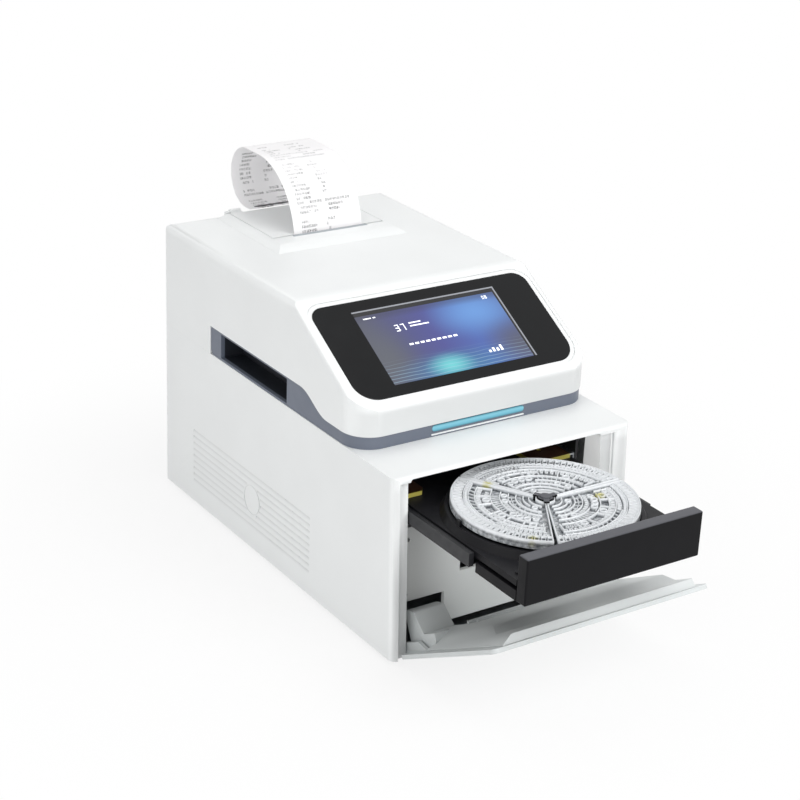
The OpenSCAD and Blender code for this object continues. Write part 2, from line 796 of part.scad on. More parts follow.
// Fan behind the rear panel
module fan_frame() color(black_abs) {
    difference() {
        block([fan_x - 30, panel_y - 15, fan_z - 30], [fan_x + 30, panel_y, fan_z + 30]);
        bar_y(panel_y - 16, panel_y + 1, fan_x, fan_z, fan_r + 1.2);
        for (x = [-25, 25], z = [-25, 25]) bar_y(panel_y - 16, panel_y + 1, fan_x + x, fan_z + z, 1.6);
    }
    for (a = [45:90:315]) translate([fan_x, panel_y - 15, fan_z]) rotate([0, a, 0])
        block([8, 0, -1.2], [fan_r + 2, 2, 1.2]);
    difference() {
        bar_y(panel_y - 15, panel_y - 12.5, fan_x, fan_z, 9);
        bar_y(panel_y - 15.5, panel_y - 12, fan_x, fan_z, 1.5 + fit);
    }
}
module fan_rotor() color("#2b2c30") {
    bar_y(panel_y - 12, panel_y - 2, fan_x, fan_z, 10);
    bar_y(panel_y - 14.5, panel_y - 11, fan_x, fan_z, 1.5);
    for (i = [0:6]) translate([fan_x, panel_y - 7, fan_z]) rotate([0, i * 360 / 7, 0])
        translate([9, 0, 0]) rotate([38, 0, 0]) block([0, -5.4, -0.6], [fan_r - 10.2, 5.4, 0.6]);
}

// Wire guard over the fan opening
module fan_guard() color(steel) {
    translate([fan_x, panel_y + panel_t + 0.8, fan_z]) rotate([90, 0, 0]) {
        for (r = [7:7:28]) rotate_extrude($fn = 72) translate([r, 0]) circle(r = 0.8, $fn = 16);
        for (a = [0:90:270]) rotate(a + 45) rotate([0, 90, 0]) translate([0, 0, 7])
            cylinder(h = 27, r = 0.7, $fn = 16);
    }
}

// Mains inlet with three blades
module power_inlet() color(black_abs) {
    difference() {
        union() {
            block([inlet_x - 13.5, panel_y - 14, inlet_z - 9.5],
                  [inlet_x + 13.5, panel_y + panel_t, inlet_z + 9.5]);
            translate([inlet_x, 0, inlet_z]) along_y(panel_y + panel_t, panel_y + panel_t + 1.8)
                rounded(31, 23, 3);
        }
        translate([inlet_x, 0, inlet_z]) along_y(panel_y - 11, body_d + 2) rounded(24, 16, 3);
    }
    for (p = [[-7, -1], [0, 2], [7, -1]]) {
        translate([inlet_x + p[0], panel_y, inlet_z + p[1]]) block([-1, -12, -2], [1, -0.5, 2]);
    }
}

// Frame and rocker of the power switch
module switch_frame() color(black_abs) {
    difference() {
        union() {
            block([inlet_x - 10, panel_y - 10, rocker_z - 13.5],
                  [inlet_x + 10, panel_y + panel_t, rocker_z + 13.5]);
            translate([inlet_x, 0, rocker_z]) along_y(panel_y + panel_t, panel_y + panel_t + 1.6)
                rounded(23, 30, 2);
        }
        block([inlet_x - 8, panel_y - 8.5, rocker_z - 11.5], [inlet_x + 8, panel_y + 6, rocker_z + 11.5]);
        bar_x(inlet_x - 10.5, inlet_x + 10.5, panel_y - 2, rocker_z, 1.5 + fit);
    }
}
module power_rocker() color("#1b1b1e") {
    bar_x(inlet_x - 9.8, inlet_x + 9.8, panel_y - 2, rocker_z, 1.5);
    translate([0, panel_y - 2, rocker_z]) rotate([rocker_tilt, 0, 0]) along_x(inlet_x - 7.6, inlet_x + 7.6)
        polygon([[-3.6, -3], [-3.6, 3], [3, 10.4], [5, 10.4], [4, 0], [5, -10.4], [3, -10.4]]);
}

// Network and data sockets on their small board
module data_ports() color("#9aa0a6") {
    difference() {
        block([7, panel_y - 16, 23], [27, panel_y + panel_t - 0.4, 45]);
        block([10, panel_y - 12, 25], [24, panel_y + 5, 34]);
        block([11, panel_y - 12, 38], [23, panel_y + 5, 43.4]);
    }
    block([5, panel_y - 24, 21.4], [29, panel_y - 1, 23]);
}

// Printer

// Open bucket that the paper roll lies in
module printer_frame() color(black_abs) {
    difference() {
        union() {
            block([-35, 237, 149], [35, 311, body_h - wall - 0.3]);
            for (x = [-44, 35]) block([x, 262, 196], [x + 9, 284, 198]);
        }
        block([-33, 254, 185], [33, 309, body_h]);
        block([-33, 262, 151], [33, 309, body_h]);
        translate([-33, roll_y, roll_z]) rotate([0, 90, 0])
            cylinder(h = 66, r = roll_d / 2 + 1.2, $fn = 72);
        block([-37, 243.6, 190], [37, 258, body_h]);
        block([-37, 236, 194], [37, 245, body_h]);
        bar_x(-35.5, 35.5, roll_y, roll_z, core_r - 0.3);
    }
}

// Raised frame in front of and beside the lid
module printer_bezel() color(white_abs) {
    half = lid_half + 0.4;
    top_z = body_h + lid_rise;
    difference() {
        intersection() {
            along_x(-half - 9, half + 9) polygon([
                [bezel_y0, body_h], [bezel_y0 + 9, top_z], [lid_y1 - 6, top_z], [lid_y1, body_h]
            ]);
            along_y(bezel_y0, lid_y1) polygon([
                [-half - 8, body_h], [-half - 1.5, top_z], [half + 1.5, top_z], [half + 8, body_h]
            ]);
        }
        block([-half, slot_y, body_h - 1], [half, lid_y1 + 1, body_h + 10]);
    }
}

// Toothed steel bar that the paper is torn on
module tear_bar() color(steel) {
    half = 31;
    bed_z = body_h + lid_rise;
    translate([0, slot_y - 2.4, 0]) {
        block([-half, 0, bed_z], [half, 2, bed_z + 0.3]);
        along_y(1.2, 2) polygon(concat(
            [[-half, bed_z + 0.3]],
            [for (i = [0:61]) [-half + i + 0.5, bed_z + (i % 2 == 0 ? 0.8 : 0.4)]],
            [[half, bed_z + 0.3]]
        ));
    }
}

// Thermal head on its sink, in front of the paper
module print_head() color("#c8c2b4") {
    block([-31, 238.2, 194.4], [31, 242.4, 203]);
    block([-29, 242.4, 196.5], [29, 243.8, 201.5]);
}
module roll_spindle() color(white_abs) {
    bar_x(-35, 35, roll_y, roll_z, core_r - 0.3);
    bar_x(-32.6, 32.6, roll_y, roll_z, core_r - 0.08);
}

// Wound paper with its core hole
module paper_roll() color("#f6f5f0") {
    difference() {
        bar_x(-paper_w / 2, paper_w / 2, roll_y, roll_z, roll_d / 2);
        bar_x(-30, 30, roll_y, roll_z, core_r);
    }
}

// Lid with its hinge barrels and the arms that hold the platen
module printer_lid() color(white_abs) {
    z0 = body_h + 0.3;
    difference() {
        union() {
            along_x(-lid_half, lid_half) polygon([
                [lid_y0, z0], [lid_y0, body_h + lid_rise], [lid_y1 - 6, body_h + lid_rise],
                [lid_y1 - 0.4, body_h + 1.4], [lid_y1 - 0.4, z0]
            ]);
            for (s = [-1, 1]) {
                bar_x(s > 0 ? 33 : -42, s > 0 ? 42 : -33, lid_axis_y, lid_axis_z, 2);
                block([s > 0 ? 33 : -42, lid_y1 - 2, z0 + 0.2], [s > 0 ? 42 : -33, lid_axis_y, z0 + 2.4]);
                block([s > 0 ? 31 : -33, 247.5, platen_z - 4.5], [s > 0 ? 33 : -31, 254.5, z0 + 1]);
            }
        }
        for (s = [-1, 1]) bar_x(s > 0 ? 32 : -43, s > 0 ? 43 : -32, lid_axis_y, lid_axis_z, 1 + fit);
        bar_x(-36, 36, platen_y, platen_z, 2 + fit);
    }
}

// Lugs and pins that the lid turns on
module lid_pins() color(white_abs) {
    for (s = [-1, 1]) {
        block([s > 0 ? 42.3 : -45.3, lid_axis_y - 1.7, body_h - 0.05],
              [s > 0 ? 45.3 : -42.3, lid_axis_y + 1.7, lid_axis_z + 0.4]);
        bar_x(s > 0 ? 33.5 : -44, s > 0 ? 44 : -33.5, lid_axis_y, lid_axis_z, 1);
    }
}

// Rubber-covered roller that pulls the paper
module platen_roller() color(dark_steel) {
    bar_x(-paper_w / 2 - 1.5, paper_w / 2 + 1.5, platen_y, platen_z, platen_r);
    bar_x(-35, 35, platen_y, platen_z, 2);
}

// Path of the paper's middle line: up from the slot, back over, round and down
function strip_arc(p, heading, r, sweep, n) =
    [for (i = [1:n]) let (h = heading - sweep * i / n)
        [p[0] + r * (sin(heading) - sin(h)), p[1] + r * (cos(h) - cos(heading))]];
strip_p0 = [strip_y, platen_z];
strip_p1 = [strip_y, body_h + 1];
strip_a = concat([strip_p0, strip_p1], strip_arc(strip_p1, strip_a1, strip_r1, strip_a1, 10));
strip_p2 = strip_a[len(strip_a) - 1] + [strip_flat, 0];
strip_b = concat(strip_a, [strip_p2], strip_arc(strip_p2, 0, strip_r2, strip_a2, 14));
strip_end = strip_b[len(strip_b) - 1] + strip_tail * [cos(strip_a2), -sin(strip_a2)];
strip_path = concat(strip_b, [strip_end]);
function strip_side(i, d) =
    let (a = strip_path[max(i - 1, 0)],
         b = strip_path[min(i + 1, len(strip_path) - 1)],
         t = (b - a) / norm(b - a))
    strip_path[i] + d * [-t[1], t[0]];

// Printed strip that curls back over the lid
module paper_strip() color("#f8f8f5") {
    n = len(strip_path) - 1;
    along_x(-paper_w / 2, paper_w / 2) polygon(concat(
        [for (i = [0:n]) strip_side(i, strip_t / 2)],
        [for (i = [n:-1:0]) strip_side(i, -strip_t / 2)]
    ));
}

// Drawer

// Tray with the raised ring that the disc lies in
module drawer_tray() color(black_abs) {
    x0 = draw_x - drawer_w / 2;
    x1 = draw_x + drawer_w / 2;
    difference() {
        union() {
            block([x0, front_back_y, tray_z], [x1, tray_end_y, tray_z + tray_t]);
            intersection() {
                translate([disc_x, disc_y, tray_z + tray_t]) rotate_extrude($fn = 120)
                    polygon([[ring_r - 1.5, -0.5], [ring_r - 1.5, 5], [ring_r + 1, 5], [ring_r + 4, -0.5]]);
                block([x0, front_back_y, tray_z], [x1, tray_end_y, tray_z + 12]);
            }
            for (a = [175, 62, -58]) translate([disc_x, disc_y, 0]) rotate(a)
                block([ring_r - 0.8, -2, tray_z + tray_t + 4], [ring_r + 0.8, 2, disc_z + 3]);
        }
        bar_z(tray_z - 1, tray_z + tray_t + 1, disc_x, disc_y, 13);
        for (x = screw_x, y = screw_y) bar_z(tray_z - 1, tray_z + tray_t + 1, x, y, 1.6);
    }
    for (x = [x0 + 6, x1 - 6]) bar_z(tray_z + tray_t, tray_z + tray_t + 1, x, front_back_y + 7, 1.8);
}

// Glossy front plate of the drawer
module drawer_front() color("#1f1f22") {
    x0 = draw_x - drawer_w / 2;
    x1 = draw_x + drawer_w / 2;
    block([x0, front_face_y, drawer_z], [x1, front_back_y, drawer_z + drawer_h]);
}

// Shallow box under the tray, behind the front plate
module drawer_apron() color(black_abs) {
    x0 = draw_x - drawer_w / 2;
    x1 = draw_x + drawer_w / 2;
    difference() {
        block([x0, front_back_y, drawer_z], [x1, front_back_y + 41, drawer_z + 7]);
        block([x0 + 2.5, front_back_y + 2.5, drawer_z + 2.5], [x1 - 2.5, front_back_y + 39, drawer_z + 8]);
    }
    for (x = [x0 + 12, x1 - 20]) {
        block([x, front_back_y, drawer_z + 2.5], [x + 8, front_back_y + 3, tray_z]);
    }
}

// Black bars on the tray's sides that run in the channels
module moving_rails() color(dark_steel) {
    for (s = [-1, 1]) {
        x_in = draw_x + s * drawer_w / 2;
        x_out = x_in + s * rail_bar_w;
        block([min(x_in, x_out), bar_y0, rail_z - 4.5], [max(x_in, x_out), bar_y1, rail_z + 4.5]);
    }
}

// Toothed rack under the tray, hung on a web
module drawer_rack() color("#d8d4c8") {
    tip_z = rack_pitch_z - gear_m;
    root_z = rack_pitch_z + 1.25 * gear_m;
    half_tip = tooth_pitch / 4 - gear_m * tan(pressure);
    half_root = tooth_pitch / 4 + 1.25 * gear_m * tan(pressure);
    rack_len = rack_teeth * tooth_pitch;
    tooth = [[-half_root, root_z], [-half_tip, tip_z], [half_tip, tip_z], [half_root, root_z]];
    along_x(rack_x0, rack_x1) polygon(concat(
        [[rack_y0, root_z + 1.6], [rack_y0, root_z]],
        [for (i = [0:rack_teeth - 1], p = tooth) [rack_y0 + tooth_pitch * (i + 0.5) + p[0], p[1]]],
        [[rack_y0 + rack_len, root_z], [rack_y0 + rack_len, root_z + 1.6]]
    ));
    block([rack_x0 + 1.5, bar_y0, root_z + 1.5], [rack_x1 - 1.5, rack_y0 + rack_len, tray_z]);
}

// Gold-passivated corner plates behind the disc
module carriage_brackets() color(gold_steel) {
    z0 = tray_z + tray_t;
    x0 = draw_x - drawer_w / 2;
    x1 = draw_x + drawer_w / 2;
    difference() {
        union() {
            translate([0, 0, z0]) linear_extrude(height = 3)
                polygon([[x0 + 0.5, 21], [x0 + 15, 21], [x0 + 18, 25], [x0 + 18, 56], [x0 + 0.5, 56]]);
            translate([0, 0, z0]) linear_extrude(height = 3)
                polygon([[x1 - 24, 21], [x1 - 0.5, 21], [x1 - 0.5, 56], [x1 - 30, 56], [x1 - 30, 30]]);
        }
        for (x = screw_x, y = screw_y) bar_z(z0 - 1, z0 + 5, x, y, 1.6);
    }
}

// Flat motor under the disc, with its shaft
module spindle_motor() color("#8f9398") {
    bar_z(drawer_z + 1, tray_z, disc_x, disc_y, 17);
    bar_z(tray_z, tray_z + 3, disc_x, disc_y, 8);
    bar_z(tray_z + 3, disc_z + disc_t - 2.6, disc_x, disc_y, 2);
}

// Hub that the sectors lock on to, with its cap and a key and a lug at each gap
module disc_hub() color("#17181a") {
    at_disc() difference() {
        union() {
            translate([0, 0, -5.6]) cylinder(h = 5.6, r = 9, $fn = 64);
            cylinder(h = disc_t + 0.8, r = hub_r, $fn = 64);
            translate([0, 0, disc_t + 0.8]) cylinder(h = 1, r1 = 4.2, r2 = 3.4, $fn = 48);
            for (k = [0:2]) rotate(k * 120 + sector_turn) {
                block([0, -0.6, 0], [8, 0.6, disc_t + 0.2]);
                block([0, -1.8, disc_t], [7.8, 1.8, disc_t + 1.2]);
            }
        }
        translate([0, 0, -7]) cylinder(h = disc_t + 5, r = 2 + fit, $fn = 48);
    }
}

// One third of the disc: rim, ring walls, cuvettes along the rim and wells nearer the middle
module disc_sector(k) {
    r_out = disc_d / 2;
    r_in = hub_r + 0.2;
    at_disc() rotate(k * 120 + sector_turn) difference() {
        intersection() {
            rotate_extrude($fn = 144) union() {
                translate([r_in, 0]) square([r_out - r_in, 3]);
                translate([r_out - 1.4, 0]) square([1.4, disc_t]);
                translate([r_out - 11, 0]) square([9.6, disc_t - 0.6]);
                translate([r_out - 24, 0]) square([1.2, disc_t - 1]);
                translate([r_out - 40, 0]) square([1.2, disc_t - 1]);
                translate([r_in, 0]) square([1.4, disc_t]);
            }
            linear_extrude(height = disc_t) intersection() {
                translate([-90, sector_gap / 2]) square([180, 90]);
                rotate(120) translate([-90, -90 - sector_gap / 2]) square([180, 90]);
            }
        }
        for (i = [0:8]) rotate(9 + i * 12.75) translate([r_out - 9.4, -2.6, 2]) cube([6.4, 5.2, disc_t]);
        for (i = [0:4]) rotate(14 + i * 23) translate([r_out - 17.8, 0, 1.4])
            cylinder(h = disc_t, r = 3.4, $fn = 32);
    }
}
module disc_sector_1() color(clear_ps) disc_sector(0);
module disc_sector_2() color(clear_ps) disc_sector(1);
module disc_sector_3() color(clear_ps) disc_sector(2);

// Flap

// Outer panel of the flap with its hinge cheeks, drawn shut and turned open
module front_flap() color(flap_grey) flap_open() {
    mid_x = (flap_l + flap_r) / 2;
    skirt_z = 12;
    cheek_deep = 9;
    cheek_top = flap_z0 - 1;
    difference() {
        union() {
            translate([mid_x, 0, (skirt_z + flap_top) / 2]) rotate([90, 0, 0]) translate([0, 0, -3])
                linear_extrude(height = 3) rounded(flap_r - flap_l, flap_top - skirt_z, 5);
            block([cheek_l, 0, hinge_z - 2], [cheek_r, 3, skirt_z + 8]);
            for (x = [cheek_l, cheek_r - cheek_t]) along_x(x, x + cheek_t) {
                translate([hinge_y, hinge_z]) circle(r = 4, $fn = 48);
                polygon([
                    [0.5, hinge_z - 2], [hinge_y, hinge_z - 2], [hinge_y + 4, hinge_z],
                    [cheek_deep, skirt_z + 4], [cheek_deep, cheek_top - 8], [3.5, cheek_top], [0.5, cheek_top]
                ]);
            }
        }
        for (x = [cheek_l, cheek_r - cheek_t]) bar_x(x - 1, x + cheek_t + 1, hinge_y, hinge_z, pin_r + fit);
    }
}

// Deep inner box of the flap, slanted at its left end and thinner where the drawer's front passes it;
// a margin draws the hollow inside it
module flap_box(m) {
    front = 3 - m / 2;
    back = flap_deep - m;
    left = cheek_l + m;
    right = cheek_r - m;
    intersection() {
        along_x(left, right) polygon([
            [front, flap_z0 + m], [back, flap_z0 + 6 + m], [back, flap_bend - m / 2],
            [flap_thin - m, flap_bend + 12 - m / 2], [flap_thin - m, flap_top - 4 - m],
            [front, flap_top - 2.5 - m]
        ]);
        linear_extrude(height = body_h)
            polygon([[left, 0], [left, 3.5], [left + flap_slant, back], [right, back], [right, 0]]);
    }
}

// Inner cover of the flap with its two ribs, and the stout arm that swings through the plate's notch
module flap_cover() color(flap_grey) flap_open() {
    x0 = cheek_l + cheek_t + 1;
    arm_w = 24;
    heel = [30, 11];
    toe = [28, 21.5];
    root_z = flap_z0 + 7;
    difference() {
        flap_box(0);
        flap_box(2);
    }
    block([x0 + arm_w + 1, flap_deep, flap_z0 + 8], [cheek_r - 3, flap_deep + 2, flap_z0 + 9.6]);
    block([x0 + arm_w + 5, flap_deep, flap_z0 + 13], [cheek_r - 7, flap_deep + 1.5, flap_z0 + 14.4]);
    along_x(x0, x0 + arm_w) polygon(concat(
        [[3, flap_z0 + 2], [3, 13], [9, 10]],
        corner([9, 10], heel, toe, 2.5), corner(heel, toe, [flap_deep, 28], 3),
        [[flap_deep, 28], [flap_deep, root_z], [8, root_z]]
    ));
}

// Hinge pins, fixed in the walls of the bay
module flap_pins() color(steel) {
    bar_x(open_l - 3.5, cheek_l + cheek_t - 0.4, hinge_y, hinge_z, pin_r);
    bar_x(cheek_r - cheek_t + 0.4, open_r + 4, hinge_y, hinge_z, pin_r);
}

// Puts the origin in the middle of the footprint
module placed() {
    translate([0, -body_d / 2, 0]) children();
}

placed() base_pan();
placed() feet();
placed() lower_case();
placed() upper_case();
placed() waist_band();
placed() grip_pocket_left();
placed() grip_pocket_right();
placed() light_bar();
placed() light_bar_lip();
placed() led_board();
placed() rear_panel();
placed() screen_surround();
placed() touch_glass();
placed() picture_panel();
placed() screen_module();
placed() screen_board();
placed() inner_front_plate();
placed() chassis_left();
placed() chassis_right();
placed() fixed_rails();
placed() optics_bridge();
placed() photometer_housing();
placed() objective_lens();
placed() lamp_housing();
placed() drive_motor();
placed() drive_pinion();
placed() mainboard();
placed() power_supply();
placed() fan_frame();
placed() fan_rotor();
placed() fan_guard();
placed() power_inlet();
placed() switch_frame();
placed() power_rocker();
placed() data_ports();
placed() case_screws();
placed() printer_frame();
placed() printer_bezel();
placed() tear_bar();
placed() print_head();
placed() roll_spindle();
placed() paper_roll();
placed() printer_lid();
placed() lid_pins();
placed() platen_roller();
placed() paper_strip();
placed() drawer_tray();
placed() drawer_front();
placed() drawer_apron();
placed() moving_rails();
placed() drawer_rack();
placed() carriage_brackets();
placed() spindle_motor();
placed() disc_hub();
placed() disc_sector_1();
placed() disc_sector_2();
placed() disc_sector_3();
placed() front_flap();
placed() flap_cover();
placed() flap_pins();
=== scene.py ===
import json
import math

import bmesh
import bpy
from mathutils import Matrix, Vector


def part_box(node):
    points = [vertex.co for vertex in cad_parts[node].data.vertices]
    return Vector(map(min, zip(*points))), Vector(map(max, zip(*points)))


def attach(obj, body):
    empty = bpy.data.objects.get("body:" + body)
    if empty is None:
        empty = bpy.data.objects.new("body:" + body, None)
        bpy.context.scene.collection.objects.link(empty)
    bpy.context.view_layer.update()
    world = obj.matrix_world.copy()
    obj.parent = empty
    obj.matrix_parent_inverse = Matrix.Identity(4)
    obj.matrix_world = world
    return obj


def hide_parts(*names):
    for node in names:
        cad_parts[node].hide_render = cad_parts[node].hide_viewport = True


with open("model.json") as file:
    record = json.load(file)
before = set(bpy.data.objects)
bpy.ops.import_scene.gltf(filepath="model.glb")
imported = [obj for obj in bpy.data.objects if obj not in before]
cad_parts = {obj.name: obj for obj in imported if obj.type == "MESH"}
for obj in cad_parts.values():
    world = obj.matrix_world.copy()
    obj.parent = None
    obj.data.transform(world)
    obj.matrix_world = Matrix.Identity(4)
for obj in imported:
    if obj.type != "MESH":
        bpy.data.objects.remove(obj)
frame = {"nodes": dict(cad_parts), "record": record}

bl_info = {
    "name": "Benchtop Chemistry Analyzer",
    "version": (1, 0, 0),
    "blender": (4, 5, 0),
    "location": "View3D > Sidebar > Analyzer",
    "description": "Finishes of a benchtop analyzer with a disc drawer, a flap, a screen and a printer",
    "category": "Object",
}

MM = 0.001
HALF_WIDTH, HALF_DEPTH = 95, 160
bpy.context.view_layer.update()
DISC_MIDDLE = sum(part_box("disc_hub"), Vector()) / 2
DISC_FLOOR, DISC_PLATE = 113.0, 2.4
PAPER_WIDTH = 57
VENTS_LOW, VENTS_HIGH = (104, 17), (274, 64)
SPARK_GRAIN = (0.45, 0.004)
PAPER_TOOTH = (0.6, 0.004)
FLOW_MM = 45
SHARP_DEGREES, FLAT_DEGREES = 35, 0.4
WELD = 2e-6
BODY_OF = {node: body for body, nodes in frame["record"]["behaviour"]["bodies"].items() for node in nodes}


# Colour and size helpers

def linear(hex_value):
    """sRGB hex to linear RGB."""
    channels = [int(hex_value[i:i + 2], 16) / 255 for i in (1, 3, 5)]
    return tuple(c / 12.92 if c <= 0.04045 else ((c + 0.055) / 1.055) ** 2.4 for c in channels)


def rgba(colour):
    """Four channels from three."""
    return (colour[0], colour[1], colour[2], 1.0)


def colour_setting(name, description, hex_value):
    return bpy.props.FloatVectorProperty(
        name=name, description=description, subtype="COLOR", size=3, min=0, max=1, default=linear(hex_value))


def length_setting(name, description, millimetres):
    return bpy.props.FloatProperty(
        name=name, description=description, unit="LENGTH", precision=5, min=0, default=millimetres * MM)


class AnalyzerColours(bpy.types.PropertyGroup):
    """Colours of the analyzer's finishes."""
    casing: colour_setting("Casing", "Moulded ABS of the two shells", "#eceeee")
    band: colour_setting("Band", "Moulded ABS of the waist band", "#656c7a")
    recess: colour_setting("Grip recess", "Dark well behind the band's window", "#171b23")
    drawer: colour_setting("Drawer", "Black ABS of the drawer", "#0c0c0f")
    # The drawer front's and the hub's upward faces take this grey as a painted sheen.
    painted_sheen: colour_setting("Painted sheen", "Grey of the drawer front's upper edge", "#5c5d62")
    flap: colour_setting("Flap", "Light grey ABS of the flap", "#c8cccc")
    plate: colour_setting("Inner plate", "Painted plate behind the flap", "#e2e4e3")
    light: colour_setting("Light bar", "Frosted bar that is lit from behind", "#62a9be")
    glass: colour_setting("Glass border", "Black print under the touch glass", "#101113")
    gold: colour_setting("Passivated steel", "Yellow chromate on the carriage plates", "#e0d468")
    # The disc colour whitens the walls towards their tops as a painted highlight.
    disc: colour_setting("Disc", "Clear polystyrene of the reagent disc", "#eceff2")
    paper: colour_setting("Paper", "Thermal paper", "#f5f4f5")


class AnalyzerSizes(bpy.types.PropertyGroup):
    """Sizes that a maker would tune."""
    shell_edge: length_setting("Shell edge", "Rounding of the shells' sharp edges", 0.7)
    fine_edge: length_setting("Fine edge", "Rounding of small parts' edges", 0.3)
    cell_pitch: length_setting("Cuvette pitch", "Spacing of the cuvettes along the disc's rim", 3.9)
    print_pitch: length_setting("Print pitch", "Spacing of the printed rows on the paper", 3.4)


def colours():
    return bpy.context.scene.analyzer_colours


def sizes():
    return bpy.context.scene.analyzer_sizes


# Node trees

def add(tree, kind, settings=None, inputs=None):
    """Adds one node with its settings; an input is a value or the socket that feeds it."""
    made = tree.nodes.new(kind)
    for key, value in (settings or {}).items():
        setattr(made, key, value)
    for key, value in (inputs or {}).items():
        if isinstance(value, bpy.types.NodeSocket):
            tree.links.new(value, made.inputs[key])
        else:
            made.inputs[key].default_value = value
    return made


def maths(tree, operation, one, other=0.0):
    return add(tree, "ShaderNodeMath", {"operation": operation}, {0: one, 1: other}).outputs[0]


def times(tree, one, *others):
    """Product of values."""
    for other in others:
        one = maths(tree, "MULTIPLY", one, other)
    return one


def vector_maths(tree, operation, one, other):
    return add(tree, "ShaderNodeVectorMath", {"operation": operation}, {0: one, 1: other})


def axes(tree, vector):
    """The X, Y and Z of a vector."""
    return add(tree, "ShaderNodeSeparateXYZ", inputs={0: vector}).outputs


def spread(tree, value, start, end, low=0.0, high=1.0, kind="LINEAR"):
    """Change from low to high while the value goes from start to end."""
    return add(tree, "ShaderNodeMapRange", {"interpolation_type": kind}, {
        "Value": value, "From Min": start, "From Max": end, "To Min": low, "To Max": high}).outputs[0]


def smooth_step(tree, value, start, end, low=0.0, high=1.0):
    """The same change, eased at both ends."""
    return spread(tree, value, start, end, low, high, "SMOOTHSTEP")


def mixed(tree, share, low, high):
    """Colour between two others; each is a linear colour or the socket that gives one."""
    ends = {
        key: end if isinstance(end, bpy.types.NodeSocket) else rgba(end)
        for key, end in ((6, low), (7, high))}
    return add(tree, "ShaderNodeMix", {"data_type": "RGBA"}, {0: share, **ends}).outputs[2]


def noise(tree, size_mm, detail, place=None):
    """Noise whose features are size_mm across."""
    return add(tree, "ShaderNodeTexNoise", inputs={
        "Vector": place or object_place(tree), "Scale": 1 / (size_mm * MM), "Detail": detail}).outputs[0]


def varied(tree, low, high, size_mm, place=None):
    """Slow change between two values, or two colours, with blotches size_mm across."""
    patches = noise(tree, size_mm, 3.0, place)
    if isinstance(low, (int, float)):
        return spread(tree, patches, 0.3, 0.7, low, high)
    return mixed(tree, spread(tree, patches, 0.3, 0.7), low, high)


def new_material(name, **shader_inputs):
    """Material with one Principled shader; returns the material, its tree and the shader."""
    material = bpy.data.materials.new(name)
    material.use_nodes = True
    tree = material.node_tree
    tree.nodes.clear()
    shader = add(tree, "ShaderNodeBsdfPrincipled", inputs=shader_inputs)
    add(tree, "ShaderNodeOutputMaterial", inputs={"Surface": shader.outputs[0]})
    return material, tree, shader


def feed(tree, shader, inputs):
    """Links sockets to the shader's inputs by name."""
    for key, socket in inputs.items():
        tree.links.new(socket, shader.inputs[key])


def object_place(tree):
    return add(tree, "ShaderNodeTexCoord").outputs["Object"]


def facing(tree):
    """The X, Y and Z of the surface's normal."""
    return axes(tree, add(tree, "ShaderNodeNewGeometry").outputs["Normal"])


def grain(tree, shader, size_mm, depth_mm, place=None, stretch=None):
    """Bump from fine noise whose features are size_mm across."""
    if stretch:
        place = add(tree, "ShaderNodeMapping", inputs={
            "Vector": object_place(tree), "Scale": stretch}).outputs[0]
    bump = add(tree, "ShaderNodeBump", inputs={
        "Height": noise(tree, size_mm, 2.0, place), "Distance": depth_mm * MM, "Strength": 1.0})
    feed(tree, shader, {"Normal": bump.outputs[0]})


def bounce(tree, shader, share, hex_value):
    """Light thrown back by what stands around, which the few lamps don't give: a faint glow by share."""
    feed(tree, shader, {"Emission Color": mixed(tree, share, (0, 0, 0), linear(hex_value))})
    shader.inputs["Emission Strength"].default_value = 1.0


def shade(colour, factor):
    return tuple(min(c * factor, 1.0) for c in colour)


# Materials

def plain_finish(name, ends, patch_mm, rough=None, rough_mm=None, bumps=None, stretch=None, **shader_inputs):
    """Finish whose colour and roughness drift slowly between their ends, under bumps of a size and depth."""
    material, tree, shader = new_material(name, **shader_inputs)
    feed(tree, shader, {"Base Color": varied(tree, *ends, patch_mm)})
    if rough:
        feed(tree, shader, {"Roughness": varied(tree, *rough, rough_mm)})
    if bumps:
        grain(tree, shader, *bumps, stretch=stretch)
    return material


def moulded_abs(name, colour, roughness):
    """Injection-moulded ABS: a fine spark-eroded grain breaks the gloss, and flow gives faint cloudiness."""
    return plain_finish(name, flow_lines(colour), FLOW_MM, (roughness - 0.04, roughness + 0.05), 8,
                        bumps=SPARK_GRAIN, IOR=1.53)


def flow_lines(colour):
    """The two ends between which the colour of moulded ABS drifts."""
    return shade(colour, 0.985), shade(colour, 1.01)


def vent_shade(tree, across, deep, high):
    """Share of shade inside the side vents: faint in the louvres, strong in the slits behind them."""
    out = maths(tree, "ABSOLUTE", across)
    skin, louvre, slit = HALF_WIDTH, HALF_WIDTH - 1, HALF_WIDTH - 1.3
    inside = maths(tree, "ADD", smooth_step(tree, out, skin * MM, louvre * MM, 0.0, 0.2),
                   smooth_step(tree, out, (slit + 0.4) * MM, slit * MM, 0.0, 0.65))
    for place, start, end in ((high, VENTS_LOW[1], VENTS_HIGH[1]),
                              (deep, VENTS_LOW[0] + 0.3 - HALF_DEPTH, VENTS_HIGH[0] - HALF_DEPTH)):
        inside = times(tree, inside, smooth_step(tree, place, (start - 0.2) * MM, (start + 0.2) * MM),
                       smooth_step(tree, place, (end + 0.2) * MM, (end - 0.2) * MM))
    return inside


